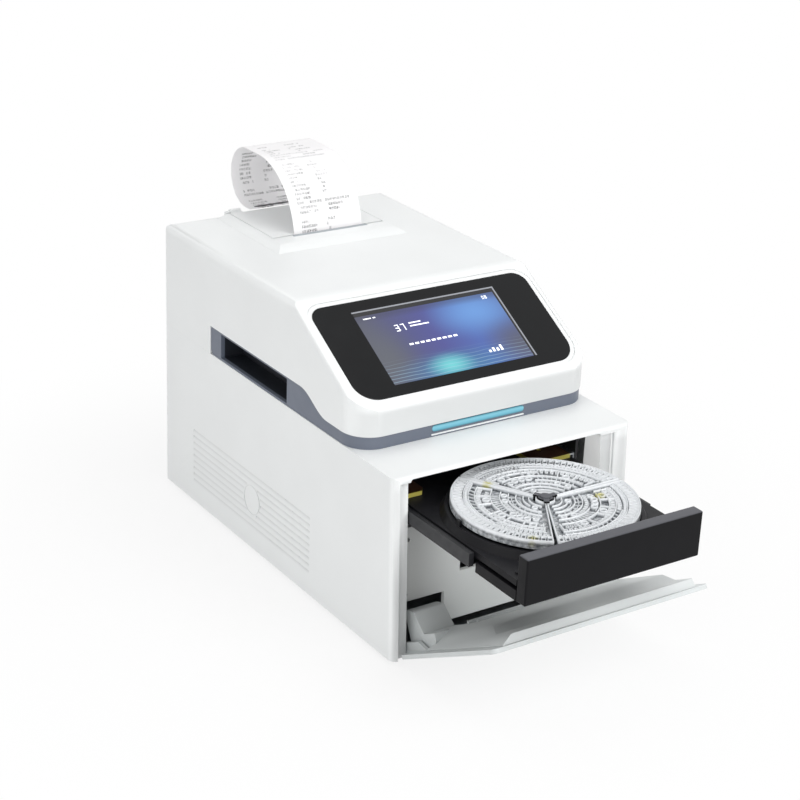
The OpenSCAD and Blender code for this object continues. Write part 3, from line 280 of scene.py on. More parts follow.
def framed_abs(name, colour, top, high_shade, low_shade):
    """White ABS of a shell: below a height its front face stands in shade and greys towards the table,
    the side vents are shaded, and the bay's right cheek catches light from the disc."""
    material, tree, shader = new_material(name, IOR=1.53, Roughness=0.38)
    normal = facing(tree)
    across, deep, high = axes(tree, object_place(tree))
    front = times(tree, smooth_step(tree, normal["Y"], -0.3, -0.95),
                  smooth_step(tree, high, (top + 3) * MM, (top - 3) * MM))
    depth = maths(tree, "ADD", smooth_step(tree, high, 95 * MM, 45 * MM, high_shade, low_shade),
                  smooth_step(tree, across, -90 * MM, 70 * MM, 0.0, 0.05))
    dark = maths(tree, "MAXIMUM", times(tree, front, depth), vent_shade(tree, across, deep, high))
    cheek = times(tree, smooth_step(tree, normal["X"], -0.8, -0.98),
                  smooth_step(tree, deep, -128 * MM, -132 * MM),
                  smooth_step(tree, across, 60 * MM, 68 * MM))
    white = varied(tree, *flow_lines(colour), FLOW_MM)
    feed(tree, shader, {"Base Color": mixed(tree, dark, white, linear("#2a2c2d"))})
    bounce(tree, shader, cheek, "#a2a2a2")
    grain(tree, shader, *SPARK_GRAIN)
    return material


def satin_black(name, colour, painted_sheen):
    """Black ABS from a fine-blasted tool: faces that look up carry a grey painted sheen, a reflection painted
    into the base colour, and the others stay deep.
    """
    material, tree, shader = new_material(name, IOR=1.54)
    shader.inputs["Specular IOR Level"].default_value = 0.12
    cloud = varied(tree, shade(colour, 0.92), shade(colour, 1.1), 30)
    # Upward faces get a painted sheen: the given grey mixed into the black.
    upward = smooth_step(tree, facing(tree)["Z"], 0.1, 1.0)
    feed(tree, shader, {
        "Base Color": mixed(tree, upward, cloud, painted_sheen), "Roughness": varied(tree, 0.34, 0.46, 10)})
    grain(tree, shader, 0.45, 0.003)
    return material


def printed_glass(name, colour):
    """Touch glass with a black border printed on its back: deep black under a clear, sharp reflection."""
    return plain_finish(name, (shade(colour, 0.95), shade(colour, 1.08)), 20, (0.08, 0.16), 15,
                        IOR=1.52, **{"Specular IOR Level": 0.18})


def zinc_steel(name):
    """Zinc-plated sheet: rolling marks run one way, and the plating is slightly cloudy."""
    base = linear("#b4b8bc")
    return plain_finish(name, (shade(base, 0.9), shade(base, 1.06)), 7, (0.28, 0.42), 4,
                        bumps=(0.5, 0.003), stretch=(1.0, 0.06, 1.0), Metallic=1.0)


def passivated_steel(name, colour):
    """Yellow chromate passivation, brassy on the edges that face the light; the upward tops are painted dark
    brown as painted shade.
    """
    material, tree, shader = new_material(name, IOR=1.6)
    # Upward tops: painted shade in dark brown over the brass.
    top = spread(tree, facing(tree)["Z"], 0.3, 0.9)
    brass = varied(tree, colour, shade(colour, 0.8), 9)
    feed(tree, shader, {
        "Base Color": mixed(tree, top, brass, linear("#3c2212")), "Roughness": varied(tree, 0.3, 0.45, 5)})
    grain(tree, shader, 0.5, 0.003)
    return material


def powder_coat(name, hex_value):
    """Powder-coated steel: a soft orange-peel ripple about a millimetre across."""
    base = linear(hex_value)
    return plain_finish(name, (shade(base, 0.96), shade(base, 1.03)), 25, (0.45, 0.56), 6,
                        bumps=(1.1, 0.012), IOR=1.5)


def bay_paint(name, colour):
    """Light powder coat of the plate in the bay: darker at the left, where the drawer shades it, and lifted
    at the right by light from the flap."""
    material, tree, shader = new_material(name, IOR=1.5, Roughness=0.5)
    across = axes(tree, object_place(tree))["X"]
    lit = smooth_step(tree, across, -80 * MM, -30 * MM)
    feed(tree, shader, {"Base Color": mixed(tree, lit, shade(colour, 0.6), colour)})
    bounce(tree, shader, smooth_step(tree, across, -70 * MM, -15 * MM), "#777978")
    grain(tree, shader, 1.0, 0.01)
    return material


def flap_abs(name, colour):
    """Light grey ABS of the flap, lifted under the drawer by light from the floor."""
    material, tree, shader = new_material(name, IOR=1.53, Roughness=0.4)
    across = axes(tree, object_place(tree))["X"]
    feed(tree, shader, {"Base Color": varied(tree, *flow_lines(colour), FLOW_MM)})
    bounce(tree, shader, smooth_step(tree, across, -60 * MM, 0.0), "#5e6060")
    grain(tree, shader, *SPARK_GRAIN)
    return material


def cast_alloy(name):
    """Bead-blasted aluminium casting: a matt, slightly pitted metal."""
    base = linear("#9a9da1")
    return plain_finish(name, (shade(base, 0.9), base), 5, (0.42, 0.56), 3, bumps=(0.7, 0.02), Metallic=1.0)


def solder_mask(name):
    """Circuit board: dark green mask over lighter copper tracks that run in straight lines."""
    material, tree, shader = new_material(name, IOR=1.5, Roughness=0.28)
    place = object_place(tree)
    tracks = add(tree, "ShaderNodeTexBrick", inputs={
        "Vector": place, "Scale": 1 / (9 * MM), "Mortar Size": 0.03, "Bias": 0.0,
        "Color1": rgba(linear("#1f5a3b")), "Color2": rgba(linear("#23613f")),
        "Mortar": rgba(linear("#3c8a5a"))})
    feed(tree, shader, {"Base Color": tracks.outputs[0]})
    grain(tree, shader, 1.5, 0.01, place)
    return material


def acetal(name):
    """Machined acetal: milky cream with a waxy sheen."""
    base = linear("#d8d4c8")
    return plain_finish(name, (shade(base, 0.96), base), 12, (0.34, 0.44), 5,
                        bumps=(0.4, 0.003), IOR=1.48, **{"Subsurface Weight": 0.15})


def moulded_rubber(name):
    """Moulded nitrile rubber: near black, matt, with a dusty film."""
    base = linear("#232326")
    return plain_finish(name, (base, shade(base, 1.5)), 6, (0.62, 0.8), 4, bumps=(0.5, 0.012), IOR=1.5)


def glazed_ceramic(name):
    """Alumina heater bar under glaze: ivory and smooth."""
    base = linear("#cfc8b8")
    return plain_finish(name, (shade(base, 0.95), base), 6, (0.16, 0.26), 4, IOR=1.6)


def lens_glass(name):
    """Polished optical glass with a faint violet coating."""
    return plain_finish(name, (linear("#e8eaf6"), linear("#d9ddf2")), 6,
                        IOR=1.52, Roughness=0.02, **{"Transmission Weight": 1.0})


def blank_paper(name, colour):
    """Unprinted thermal paper: smooth and matt, with the layers' shade between the turns."""
    return plain_finish(name, (shade(colour, 0.95), colour), 9, bumps=PAPER_TOOTH, IOR=1.4, Roughness=0.62)


def colour_band(tree, value, stops):
    """Colour that changes along a value, from (place, linear colour) stops."""
    ramp = add(tree, "ShaderNodeValToRGB", inputs={0: value})
    elements = ramp.color_ramp.elements
    elements[0].position, elements[1].position = stops[0][0], stops[-1][0]
    elements[0].color, elements[1].color = rgba(stops[0][1]), rgba(stops[-1][1])
    for position, colour in stops[1:-1]:
        elements.new(position).color = rgba(colour)
    return ramp.outputs[0]


def frosted_light(name, colour):
    """Frosted acrylic lit from behind: brightest along the middle, deeper teal at its edges."""
    material, tree, shader = new_material(name, IOR=1.49, Roughness=0.35)
    low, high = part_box("light_bar")
    rise = spread(tree, axes(tree, object_place(tree))["Z"], low.z, high.z)
    lit = colour_band(tree, rise, (
        (0.0, shade(colour, 0.5)), (0.25, colour), (0.7, linear("#7dbccc")), (1.0, linear("#3f8296"))))
    feed(tree, shader, {"Base Color": lit, "Emission Color": lit})
    shader.inputs["Emission Strength"].default_value = 0.12
    return material


def clear_polystyrene(name, colour):
    """Clear moulded polystyrene: thin floors take a blotchy grey and let part of the black tray through, the
    walls whiten towards their tops as a painted highlight, and three wells carry a yellow reagent."""
    material, tree, shader = new_material(name, IOR=1.59)
    place = object_place(tree)
    edge = spread(tree, axes(tree, place)["Z"], (DISC_FLOOR + DISC_PLATE) * MM, (DISC_FLOOR + 4.6) * MM)
    # The walls whiten towards their tops in the disc colour: a painted highlight.
    painted = mixed(tree, edge, varied(tree, linear("#8b9197"), linear("#e6e9ec"), 2.6, place), colour)
    for radius, degrees in ((40, 118), (36, -18), (56, -135)):
        gap = vector_maths(tree, "DISTANCE", place, polar(radius, degrees, DISC_FLOOR + 3))
        well = smooth_step(tree, gap.outputs["Value"], 2.0 * MM, 5.0 * MM, 0.85, 0.0)
        painted = mixed(tree, well, painted, linear("#cfc95e"))
    thin = spread(tree, edge, 0.0, 1.0, 1.0, 0.1)
    feed(tree, shader, {
        "Base Color": painted, "Roughness": varied(tree, 0.04, 0.2, 3, place),
        "Transmission Weight": times(tree, thin, varied(tree, 0.0, 0.6, 2.4, place))})
    grain(tree, shader, 1.6, 0.08, place)
    return material


def thermal_paper(name, colour, pitch, length):
    """Thermal paper with rows of small grey marks; the marks are laid on a grid and spell nothing.
    They print faintly at first and darkly past the bend, where a black bar ends the slip."""
    material, tree, shader = new_material(name, IOR=1.4, Roughness=0.62)
    along = add(tree, "ShaderNodeAttribute", {"attribute_name": "along"}).outputs["Fac"]
    from_middle = add(tree, "ShaderNodeAttribute", {"attribute_name": "across"}).outputs["Fac"]
    across = maths(tree, "ADD", from_middle, PAPER_WIDTH / 2 * MM)

    def random_at(x, y, seed):
        joined = add(tree, "ShaderNodeCombineXYZ", inputs={0: x, 1: y, 2: seed})
        return add(tree, "ShaderNodeTexWhiteNoise", {"noise_dimensions": "3D"}, {
            0: joined.outputs[0]}).outputs[0]

    def within(value, low, high):
        return times(tree, maths(tree, "GREATER_THAN", value, low), maths(tree, "LESS_THAN", value, high))

    def cell(value, size):
        return maths(tree, "FLOOR", maths(tree, "DIVIDE", value, size))

    def place_in_cell(value, size):
        return maths(tree, "FRACT", maths(tree, "DIVIDE", value, size))

    def row_end(start, reach_mm, column, seed):
        return maths(tree, "ADD", start, times(tree, random_at(row, column, seed), reach_mm * MM))

    row = cell(along, pitch)
    letter_mm, dot_mm = 2.1 * MM, 0.42 * MM
    right_start = row_end(27 * MM, 5, 2.0, 7.0)
    inside = within(across, 6 * MM, 50 * MM)
    whole_rows = times(tree, maths(tree, "GREATER_THAN", random_at(row, 6.0, 12.0), 0.86), inside)
    columns = maths(tree, "MAXIMUM", maths(
        tree, "MAXIMUM", within(across, 7 * MM, row_end(13 * MM, 10, 1.0, 5.0)),
        within(across, right_start, row_end(right_start, 14, 3.0, 9.0))), whole_rows)
    marks = times(
        tree, within(place_in_cell(along, pitch), 0.22, 0.8), columns,
        maths(tree, "LESS_THAN", place_in_cell(across, letter_mm), 0.8),
        maths(tree, "GREATER_THAN", random_at(cell(across, dot_mm), cell(along, dot_mm), 3.0), 0.34),
        maths(tree, "GREATER_THAN", random_at(row, 4.0, 11.0), 0.22),
        maths(tree, "GREATER_THAN", random_at(cell(across, letter_mm), row, 13.0), 0.12))

    flat_place = add(tree, "ShaderNodeCombineXYZ", inputs={0: across, 1: along}).outputs[0]
    patches = spread(tree, noise(tree, 16, 2.0, flat_place), 0.35, 0.65, 0.4, 0.9)
    past_bend = spread(tree, along, length * 0.42, length * 0.6, 1.0, 2.0)
    crest = spread(tree, along, length * 0.22, length * 0.36, 1.0, 0.5)
    ragged = times(tree, random_at(cell(across, 0.9 * MM), 1.0, 17.0), 1.6 * MM)
    bar = within(along, maths(tree, "ADD", ragged, length - 6.5 * MM),
                 maths(tree, "SUBTRACT", length - 1.6 * MM, ragged))
    ink = maths(tree, "MAXIMUM", times(tree, marks, patches, past_bend, crest), times(tree, bar, inside))
    printed = mixed(tree, maths(tree, "MINIMUM", ink, 0.95), colour, linear("#2a2a2e"))
    feed(tree, shader, {"Base Color": printed})
    grain(tree, shader, *PAPER_TOOTH)
    return material


def lit_picture(name):
    """Lit picture: violet grey at the left, bright blue at the upper right, a cyan glow low in the middle.
    Along the top and the right it has a painted black gap, then a pale painted highlight of the panel's glass
    edge."""
    material, tree, shader = new_material(name, Roughness=0.25, IOR=1.5)
    uv = add(tree, "ShaderNodeUVMap", {"uv_map": "picture"}).outputs[0]
    across, up, _ = axes(tree, uv)
    painted = colour_band(tree, across, [(place, linear(value)) for place, value in (
        (0.0, "#55586a"), (0.2, "#4e5180"), (0.45, "#4b4f9a"), (0.7, "#4a68b8"), (1.0, "#5566a0"))])
    glows = (
        ((0.04, 0.3), (0.3, 0.7), "#5f636e"),
        ((0.78, 0.72), (0.4, 0.42), "#6ba0e6"),
        ((0.97, 0.2), (0.3, 0.45), "#565a70"),
        ((0.46, 0.06), (0.5, 0.3), "#3f7fae"),
        ((0.42, 0.1), (0.2, 0.2), "#74dbe0"),
    )
    for centre, reach, hex_value in glows:
        shifted = vector_maths(tree, "SUBTRACT", uv, (*centre, 0))
        scaled = vector_maths(tree, "DIVIDE", shifted.outputs[0], (*reach, 1))
        away = vector_maths(tree, "LENGTH", scaled.outputs[0], (0, 0, 0))
        amount = smooth_step(tree, away.outputs["Value"], 0.0, 1.0, 1.0, 0.0)
        painted = mixed(tree, amount, painted, linear(hex_value))
    waves = add(tree, "ShaderNodeTexWave", {"wave_type": "BANDS", "bands_direction": "Y"}, {
        "Vector": uv, "Scale": 7.0, "Distortion": 2.5, "Detail": 1.0, "Detail Scale": 0.8})
    fine_lines = times(tree, spread(tree, waves.outputs["Fac"], 0.86, 1.0),
                       smooth_step(tree, up, 0.06, 0.34, 0.42, 0.0))
    painted = mixed(tree, fine_lines, painted, linear("#b8dcf4"))
    painted = mixed(tree, spread(tree, up, 0.83, 0.9, 0.0, 0.45), painted, linear("#3a3c52"))
    # Painted along the right and the top: a black gap, then a pale painted highlight of the glass edge.
    for right, top, hex_value in ((0.976, 0.93, "#08080a"), (0.99, 0.982, "#a9acb4")):
        rim = maths(tree, "MAXIMUM", maths(tree, "GREATER_THAN", across, right),
                    maths(tree, "GREATER_THAN", up, top))
        painted = mixed(tree, rim, painted, linear(hex_value))
    feed(tree, shader, {"Emission Color": painted})
    shader.inputs["Emission Strength"].default_value = 0.9
    shader.inputs["Base Color"].default_value = rgba(linear("#0c0c10"))
    return material


def lit_marks(name):
    """Pale figures and bars that the picture shows; they glow evenly, with a slight blue drift."""
    material, tree, shader = new_material(name, Roughness=0.25, IOR=1.5)
    feed(tree, shader, {"Emission Color": varied(tree, linear("#dfe7f4"), linear("#f4f7fb"), 6)})
    shader.inputs["Emission Strength"].default_value = 0.85
    return material


# Meshes

def link(name, mesh):
    piece = bpy.data.objects.new(name, mesh)
    bpy.context.scene.collection.objects.link(piece)
    return piece


def mesh_from(bm, name):
    """Mesh with the given name; the bmesh is used up."""
    mesh = bpy.data.meshes.new(name)
    bm.to_mesh(mesh)
    bm.free()
    return mesh


def freeze(piece):
    """Turns the piece's modifiers into plain mesh."""
    graph = bpy.context.evaluated_depsgraph_get()
    graph.update()
    mesh = bpy.data.meshes.new_from_object(piece.evaluated_get(graph))
    piece.modifiers.clear()
    piece.data = mesh
    return piece


def soften(piece, width, segments, spared=None):
    """Rounds the sharp edges and keeps flat faces flat; edges inside the spared box stay sharp."""
    bevel = piece.modifiers.new("edge", "BEVEL")
    bevel.width = width
    bevel.segments = segments
    if spared:
        weigh_edges(piece, *spared)
        bevel.limit_method = "WEIGHT"
    else:
        bevel.limit_method = "ANGLE"
        bevel.angle_limit = math.radians(SHARP_DEGREES)
    bevel.use_clamp_overlap = True
    bevel.miter_outer = "MITER_ARC"
    return smooth(freeze(piece))


def weigh_edges(piece, low, high):
    """Marks the sharp edges outside a box, given in millimetres by depth and height, for the bevel."""
    bm = bmesh.new()
    bm.from_mesh(piece.data)
    weight = bm.edges.layers.float.new("bevel_weight_edge")
    for edge in bm.edges:
        middle = (edge.verts[0].co + edge.verts[1].co) / 2 / MM
        inside = low[0] < middle.y + HALF_DEPTH < high[0] and low[1] < middle.z < high[1]
        sharp = len(edge.link_faces) == 2 and edge.calc_face_angle() > math.radians(SHARP_DEGREES)
        edge[weight] = 1.0 if sharp and not inside else 0.0
    bm.to_mesh(piece.data)
    bm.free()


def smooth(piece, angle=SHARP_DEGREES):
    """Smooth shading between sharp edges, with the flat faces' normals kept straight."""
    mesh = piece.data
    mesh.polygons.foreach_set("use_smooth", [True] * len(mesh.polygons))
    mesh.set_sharp_from_angle(angle=math.radians(angle))
    weighted = piece.modifiers.new("flat", "WEIGHTED_NORMAL")
    weighted.keep_sharp = True
    weighted.weight = 80
    return freeze(piece)


def welded_copy(node, name):
    """The node's mesh as a new piece, with its loose triangles joined into whole faces."""
    bm = bmesh.new()
    bm.from_mesh(frame["nodes"][node].data)
    bmesh.ops.remove_doubles(bm, verts=bm.verts, dist=WELD)
    bmesh.ops.dissolve_limit(
        bm, angle_limit=math.radians(FLAT_DEGREES), use_dissolve_boundaries=False, verts=bm.verts,
        edges=bm.edges, delimit={"NORMAL"})
    return link(name, mesh_from(bm, name))


def finish_piece(piece, material, node):
    """The piece gets its material, rides on the node's body and stands for the node."""
    piece.data.materials.clear()
    piece.data.materials.append(material)
    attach(piece, BODY_OF[node])
    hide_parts(node)


def paint(material, *nodes):
    """A CAD node whose shape is right keeps it and gets the material."""
    for node in nodes:
        holder = frame["nodes"][node]
        holder.data.materials.clear()
        holder.data.materials.append(material)


def softened(node, material, width, segments=2, spared=None):
    """The node's own shape with rounded edges takes the node's place."""
    finish_piece(soften(welded_copy(node, node + "_moulded"), width, segments, spared), material, node)


# Geometry trees

def shape_tree(name, lengths):
    """Geometry tree that takes a mesh and the named lengths; returns the tree and its inputs."""
    tree = bpy.data.node_groups.new(name, "GeometryNodeTree")
    tree.interface.new_socket("Geometry", in_out="INPUT", socket_type="NodeSocketGeometry")
    for label, millimetres in lengths.items():
        socket = tree.interface.new_socket(label, in_out="INPUT", socket_type="NodeSocketFloat")
        socket.subtype = "DISTANCE"
        socket.default_value = millimetres * MM
    tree.interface.new_socket("Geometry", in_out="OUTPUT", socket_type="NodeSocketGeometry")
    return tree, add(tree, "NodeGroupInput").outputs


def end_tree(tree, shape, material):
    """The shape becomes real mesh with the material, and leaves the tree."""
    real = add(tree, "GeometryNodeRealizeInstances", inputs={"Geometry": shape})
    painted = add(tree, "GeometryNodeSetMaterial", inputs={
        "Geometry": real.outputs[0], "Material": material})
    add(tree, "NodeGroupOutput", inputs={0: painted.outputs[0]})
    return tree


def grow(piece, tree, lengths=None):
    """Runs the tree on the piece, with the given lengths in place of the tree's own."""
    modifier = piece.modifiers.new(tree.name, "NODES")
    modifier.node_group = tree
    for socket in tree.interface.items_tree:
        if socket.in_out == "INPUT" and socket.name in (lengths or {}):
            modifier[socket.identifier] = lengths[socket.name]
    return freeze(piece)


def lines(name, paths):
    """Mesh of loose edges along each path of points, in metres; it keeps the run along each path."""
    bm = bmesh.new()
    along = bm.verts.layers.float.new("along")
    for path in paths:
        run = 0.0
        last = None
        for point in path:
            vert = bm.verts.new(point)
            if last is not None:
                run += (vert.co - last.co).length
                bm.edges.new((last, vert))
            vert[along] = run
            last = vert
    return link(name, mesh_from(bm, name))


def draft_rib_tree(material):
    """Moulded ribs: a drafted wall stands along each line."""
    tree, given = shape_tree("moulded ribs", {"Foot width": 0.9, "Top width": 0.55, "Height": 3.0})
    curve = add(tree, "GeometryNodeMeshToCurve", inputs={"Mesh": given["Geometry"]})
    upright = add(tree, "GeometryNodeSetCurveNormal", {"mode": "Z_UP"}, {"Curve": curve.outputs[0]})
    return end_tree(tree, drafted_wall(tree, upright.outputs[0], given), material)


def drafted_wall(tree, curve, given):
    """The sweep turns its section upside down, so the section hangs below the line, foot uppermost."""
    section = add(tree, "GeometryNodeCurvePrimitiveQuadrilateral", {"mode": "TRAPEZOID"}, {
        "Height": given["Height"], "Bottom Width": given["Top width"], "Top Width": given["Foot width"],
        "Offset": 0.0})
    lift = add(tree, "ShaderNodeCombineXYZ", inputs={1: times(tree, given["Height"], -0.5)})
    stood = add(tree, "GeometryNodeTransform", inputs={
        "Geometry": section.outputs[0], "Translation": lift.outputs[0]})
    swept = add(tree, "GeometryNodeCurveToMesh", inputs={
        "Curve": curve, "Profile Curve": stood.outputs[0], "Fill Caps": True})
    return swept.outputs[0]


def cell_row_tree(material):
    """Row of open cells: a small walled frame repeats at the pitch along each line."""
    tree, given = shape_tree("row of cells", {
        "Pitch": 3.9, "Cell length": 2.6, "Cell width": 5.0, "Foot width": 0.7, "Top width": 0.4,
        "Height": 3.0})
    curve = add(tree, "GeometryNodeMeshToCurve", inputs={"Mesh": given["Geometry"]})
    spaced = add(tree, "GeometryNodeResampleCurve", {"mode": "LENGTH"}, {
        "Curve": curve.outputs[0], "Length": given["Pitch"]})
    frame_line = add(tree, "GeometryNodeCurvePrimitiveQuadrilateral", {"mode": "RECTANGLE"}, {
        "Width": given["Cell length"], "Height": given["Cell width"]})
    upright = add(tree, "GeometryNodeSetCurveNormal", {"mode": "Z_UP"}, {"Curve": frame_line.outputs[0]})
    cell = drafted_wall(tree, upright.outputs[0], given)
    turned = add(tree, "FunctionNodeAlignRotationToVector", {"axis": "X"}, {
        "Vector": add(tree, "GeometryNodeInputTangent").outputs[0]})
    placed = add(tree, "GeometryNodeInstanceOnPoints", inputs={
        "Points": spaced.outputs[0], "Instance": cell, "Rotation": turned.outputs[0]})
    return end_tree(tree, placed.outputs[0], material)


def sheet_tree(material):
    """Sheet that follows a path: the path is drawn out sideways to the sheet's width."""
    tree, given = shape_tree("sheet along a path", {"Width": PAPER_WIDTH})
    side = add(tree, "ShaderNodeCombineXYZ", inputs={0: given["Width"]})
    drawn = add(tree, "GeometryNodeExtrudeMesh", {"mode": "EDGES"}, {
        "Mesh": given["Geometry"], "Offset": side.outputs[0], "Offset Scale": 1.0})
    across = axes(tree, add(tree, "GeometryNodeInputPosition").outputs[0])["X"]
    kept = add(tree, "GeometryNodeStoreNamedAttribute", {"data_type": "FLOAT", "domain": "POINT"}, {
        "Geometry": drawn.outputs[0], "Name": "across", "Value": across})
    return end_tree(tree, kept.outputs[0], material)


# Casing

class ANALYZER_OT_shells(bpy.types.Operator):
    """Moulds the two white shells and the small white trim"""
    bl_idname = "analyzer.shells"
    bl_label = "Shells"

    def execute(self, context):
        white = moulded_abs("moulded ABS, white", colours().casing, 0.36)
        lower = framed_abs("moulded ABS, lower shell", colours().casing, 122, 0.1, 0.34)
        upper = framed_abs("moulded ABS, upper shell", colours().casing, 156, 0.17, 0.17)
        softened("lower_case", lower, sizes().shell_edge, 3, spared=(VENTS_LOW, VENTS_HIGH))
        softened("upper_case", upper, sizes().shell_edge, 3)
        for node in ("printer_bezel", "printer_lid", "screen_surround"):
            softened(node, white, sizes().fine_edge)
        paint(white, "light_bar_lip", "lid_pins")
        return {"FINISHED"}


class ANALYZER_OT_band(bpy.types.Operator):
    """Moulds the waist band, its grip recesses and the lit bar"""
    bl_idname = "analyzer.band"
    bl_label = "Waist band"

    def execute(self, context):
        slate = moulded_abs("moulded ABS, slate grey", colours().band, 0.42)
        softened("waist_band", slate, sizes().fine_edge)
        near_black = moulded_abs("moulded ABS, near black", colours().recess, 0.5)
        paint(near_black, "grip_pocket_left", "grip_pocket_right")
        paint(frosted_light("frosted acrylic, lit", colours().light), "light_bar")
        return {"FINISHED"}


# Screen

class ANALYZER_OT_screen(bpy.types.Operator):
    """Makes the touch glass and the lit picture under it"""
    bl_idname = "analyzer.screen"
    bl_label = "Screen"

    def execute(self, context):
        glass = printed_glass("touch glass, black print", colours().glass)
        softened("touch_glass", glass, sizes().fine_edge)
        piece = welded_copy("picture_panel", "lit_picture")
        face = max(piece.data.polygons, key=lambda one: one.area * (one.normal.z > 0))
        middle, normal = face.center.copy(), face.normal.copy()
        across = Vector((1, 0, 0))
        rise = normal.cross(across)
        corners = [piece.data.vertices[i].co - middle for i in face.vertices]
        half_wide = max(corner.dot(across) for corner in corners)
        half_high = max(corner.dot(rise) for corner in corners)
        uv = piece.data.uv_layers.new(name="picture")
        for loop in piece.data.loops:
            place = piece.data.vertices[loop.vertex_index].co - middle
            uv.data[loop.index].uv = (
                0.5 + place.dot(across) / half_wide / 2, 0.5 + place.dot(rise) / half_high / 2)
        finish_piece(piece, lit_picture("liquid crystal picture"), "picture_panel")

        marks = flat_marks("screen_marks", screen_layout(), middle, across, rise, normal)
        marks.data.materials.append(lit_marks("lit figures"))
        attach(marks, BODY_OF["picture_panel"])
        return {"FINISHED"}


# Lit bars of each seven-segment figure that the picture shows
DIGIT_BARS = {0: "abcdef", 3: "abgcd", 7: "abc", 8: "abcdefg"}


def digit(value, x, y, high):
    """Seven-segment figure as boxes (x0, y0, x1, y1) in millimetres."""
    wide, t = high * 0.52, high * 0.13
    half = high / 2
    bars = {
        "a": (x, y + high - t, x + wide, y + high), "d": (x, y, x + wide, y + t),
        "g": (x, y + half - t / 2, x + wide, y + half + t / 2),
        "f": (x, y + half, x + t, y + high), "b": (x + wide - t, y + half, x + wide, y + high),
        "e": (x, y, x + t, y + half), "c": (x + wide - t, y, x + wide, y + half),
    }
    return [bars[letter] for letter in DIGIT_BARS[value]]


def screen_layout():
    """Marks about the picture's middle, in millimetres: large figures with two lines beside them, a row of
    step bars, a small chart, and a heading line with small figures at its right end."""
    boxes = [(-21.5, 11.5, -6.5, 12.5), (-21.5, 14.1, -12, 15.1)]
    boxes += [(-52, 24, -46, 24.9), (-44.5, 24, -42.5, 24.9)]
    for values, x, y, step, high in (((3, 7), -33, 9.5, 4.6, 5.6), ((0, 8), 44, 22.6, 2.4, 2.8)):
        for i, value in enumerate(values):
            boxes += digit(value, x + i * step, y, high)
    boxes += [(-30 + i * 4.4, -3.4, -26.9 + i * 4.4, -1.9) for i in range(9)]
    boxes += [(24 + i * 3.2, -22, 25.8 + i * 3.2, -22 + high) for i, high in enumerate((2.0, 3.4, 2.6, 4.6))]
    return boxes


def flat_marks(name, boxes, middle, across, rise, normal, lift=0.02, thickness=0.06):
    """Thin raised plates for boxes (x0, y0, x1, y1) in millimetres about the middle of a sloping face."""
    bm = bmesh.new()
    for x0, y0, x1, y1 in boxes:
        low = [middle + (across * x + rise * y + normal * lift) * MM
               for x, y in ((x0, y0), (x1, y0), (x1, y1), (x0, y1))]
        ring = [bm.verts.new(place) for place in low]
        top = [bm.verts.new(place + normal * thickness * MM) for place in low]
        bm.faces.new(top)
        bm.faces.new(list(reversed(ring)))
        for i in range(4):
            bm.faces.new((ring[i], ring[(i + 1) % 4], top[(i + 1) % 4], top[i]))
    bmesh.ops.recalc_face_normals(bm, faces=bm.faces)
    return link(name, mesh_from(bm, name))


# Front bay, drawer and flap

class ANALYZER_OT_bay(bpy.types.Operator):
    """Finishes the plates, rails and drive inside the front bay"""
    bl_idname = "analyzer.bay"
    bl_label = "Front bay"

    def execute(self, context):
        grey = bay_paint("powder coat, light grey", colours().plate)
        softened("inner_front_plate", grey, sizes().fine_edge)
        paint(powder_coat("powder coat, black", "#1c1d20"), "chassis_left", "chassis_right",
              "optics_bridge", "case_screws", "moving_rails")
        paint(zinc_steel("zinc-plated steel"), "fixed_rails", "base_pan", "rear_panel",
              "screen_module", "fan_guard", "tear_bar", "flap_pins", "power_supply")
        paint(passivated_steel("steel, gold passivated", colours().gold), "carriage_brackets")
        paint(cast_alloy("aluminium, bead blasted"), "photometer_housing", "lamp_housing", "drive_motor",
              "spindle_motor", "data_ports")
        paint(acetal("acetal, machined"), "drawer_rack", "drive_pinion", "roll_spindle")
        paint(lens_glass("optical glass"), "objective_lens")
        paint(solder_mask("circuit board, green mask"), "led_board", "screen_board", "mainboard")
        paint(moulded_rubber("nitrile rubber"), "feet", "platen_roller")
        paint(glazed_ceramic("alumina, glazed"), "print_head")
        return {"FINISHED"}


class ANALYZER_OT_drawer(bpy.types.Operator):
    """Moulds the drawer's tray, front plate and apron"""
    bl_idname = "analyzer.drawer"
    bl_label = "Drawer"

    def execute(self, context):
        # The front's upward faces, its upper edge among them, take the grey painted sheen.
        front = satin_black("moulded ABS, front", colours().drawer, colours().painted_sheen)
        softened("drawer_front", front, 1.1 * MM, 4)
        # The tray and the small black parts take only a faint painted sheen on upward faces.
        black = satin_black("moulded ABS, black", colours().drawer, linear("#1c1c1f"))
        for node in ("drawer_tray", "drawer_apron", "fan_frame", "power_inlet", "switch_frame",
                     "power_rocker", "printer_frame"):
            softened(node, black, sizes().fine_edge)
        paint(black, "fan_rotor")
        return {"FINISHED"}


class ANALYZER_OT_flap(bpy.types.Operator):
    """Moulds the front flap and its inner cover"""
    bl_idname = "analyzer.flap"
    bl_label = "Flap"

    def execute(self, context):
        grey = flap_abs("moulded ABS, light grey", colours().flap)
        softened("front_flap", grey, 1.2 * MM, 4)
        softened("flap_cover", grey, sizes().fine_edge)
        return {"FINISHED"}


# Reagent disc

def polar(radius, degrees, height):
    """Point over the disc's middle, from millimetres and degrees."""
    turn = math.radians(degrees)
    return Vector((DISC_MIDDLE.x + radius * MM * math.cos(turn),
                   DISC_MIDDLE.y + radius * MM * math.sin(turn), height * MM))


def arc_line(radius, start, end, height, step=2.0):
    """Points of an arc round the disc, a few degrees apart."""
    count = max(2, int(abs(end - start) / step))
    return [polar(radius, start + (end - start) * i / count, height) for i in range(count + 1)]


def ring_line(radius, degrees, size, height, sides=20):
    """Closed ring of the given size about a point of the disc."""
    centre = polar(radius, degrees, height)
    turns = [2 * math.pi * i / sides for i in range(sides + 1)]
    return [centre + Vector((math.cos(turn), math.sin(turn), 0)) * size * MM for turn in turns]


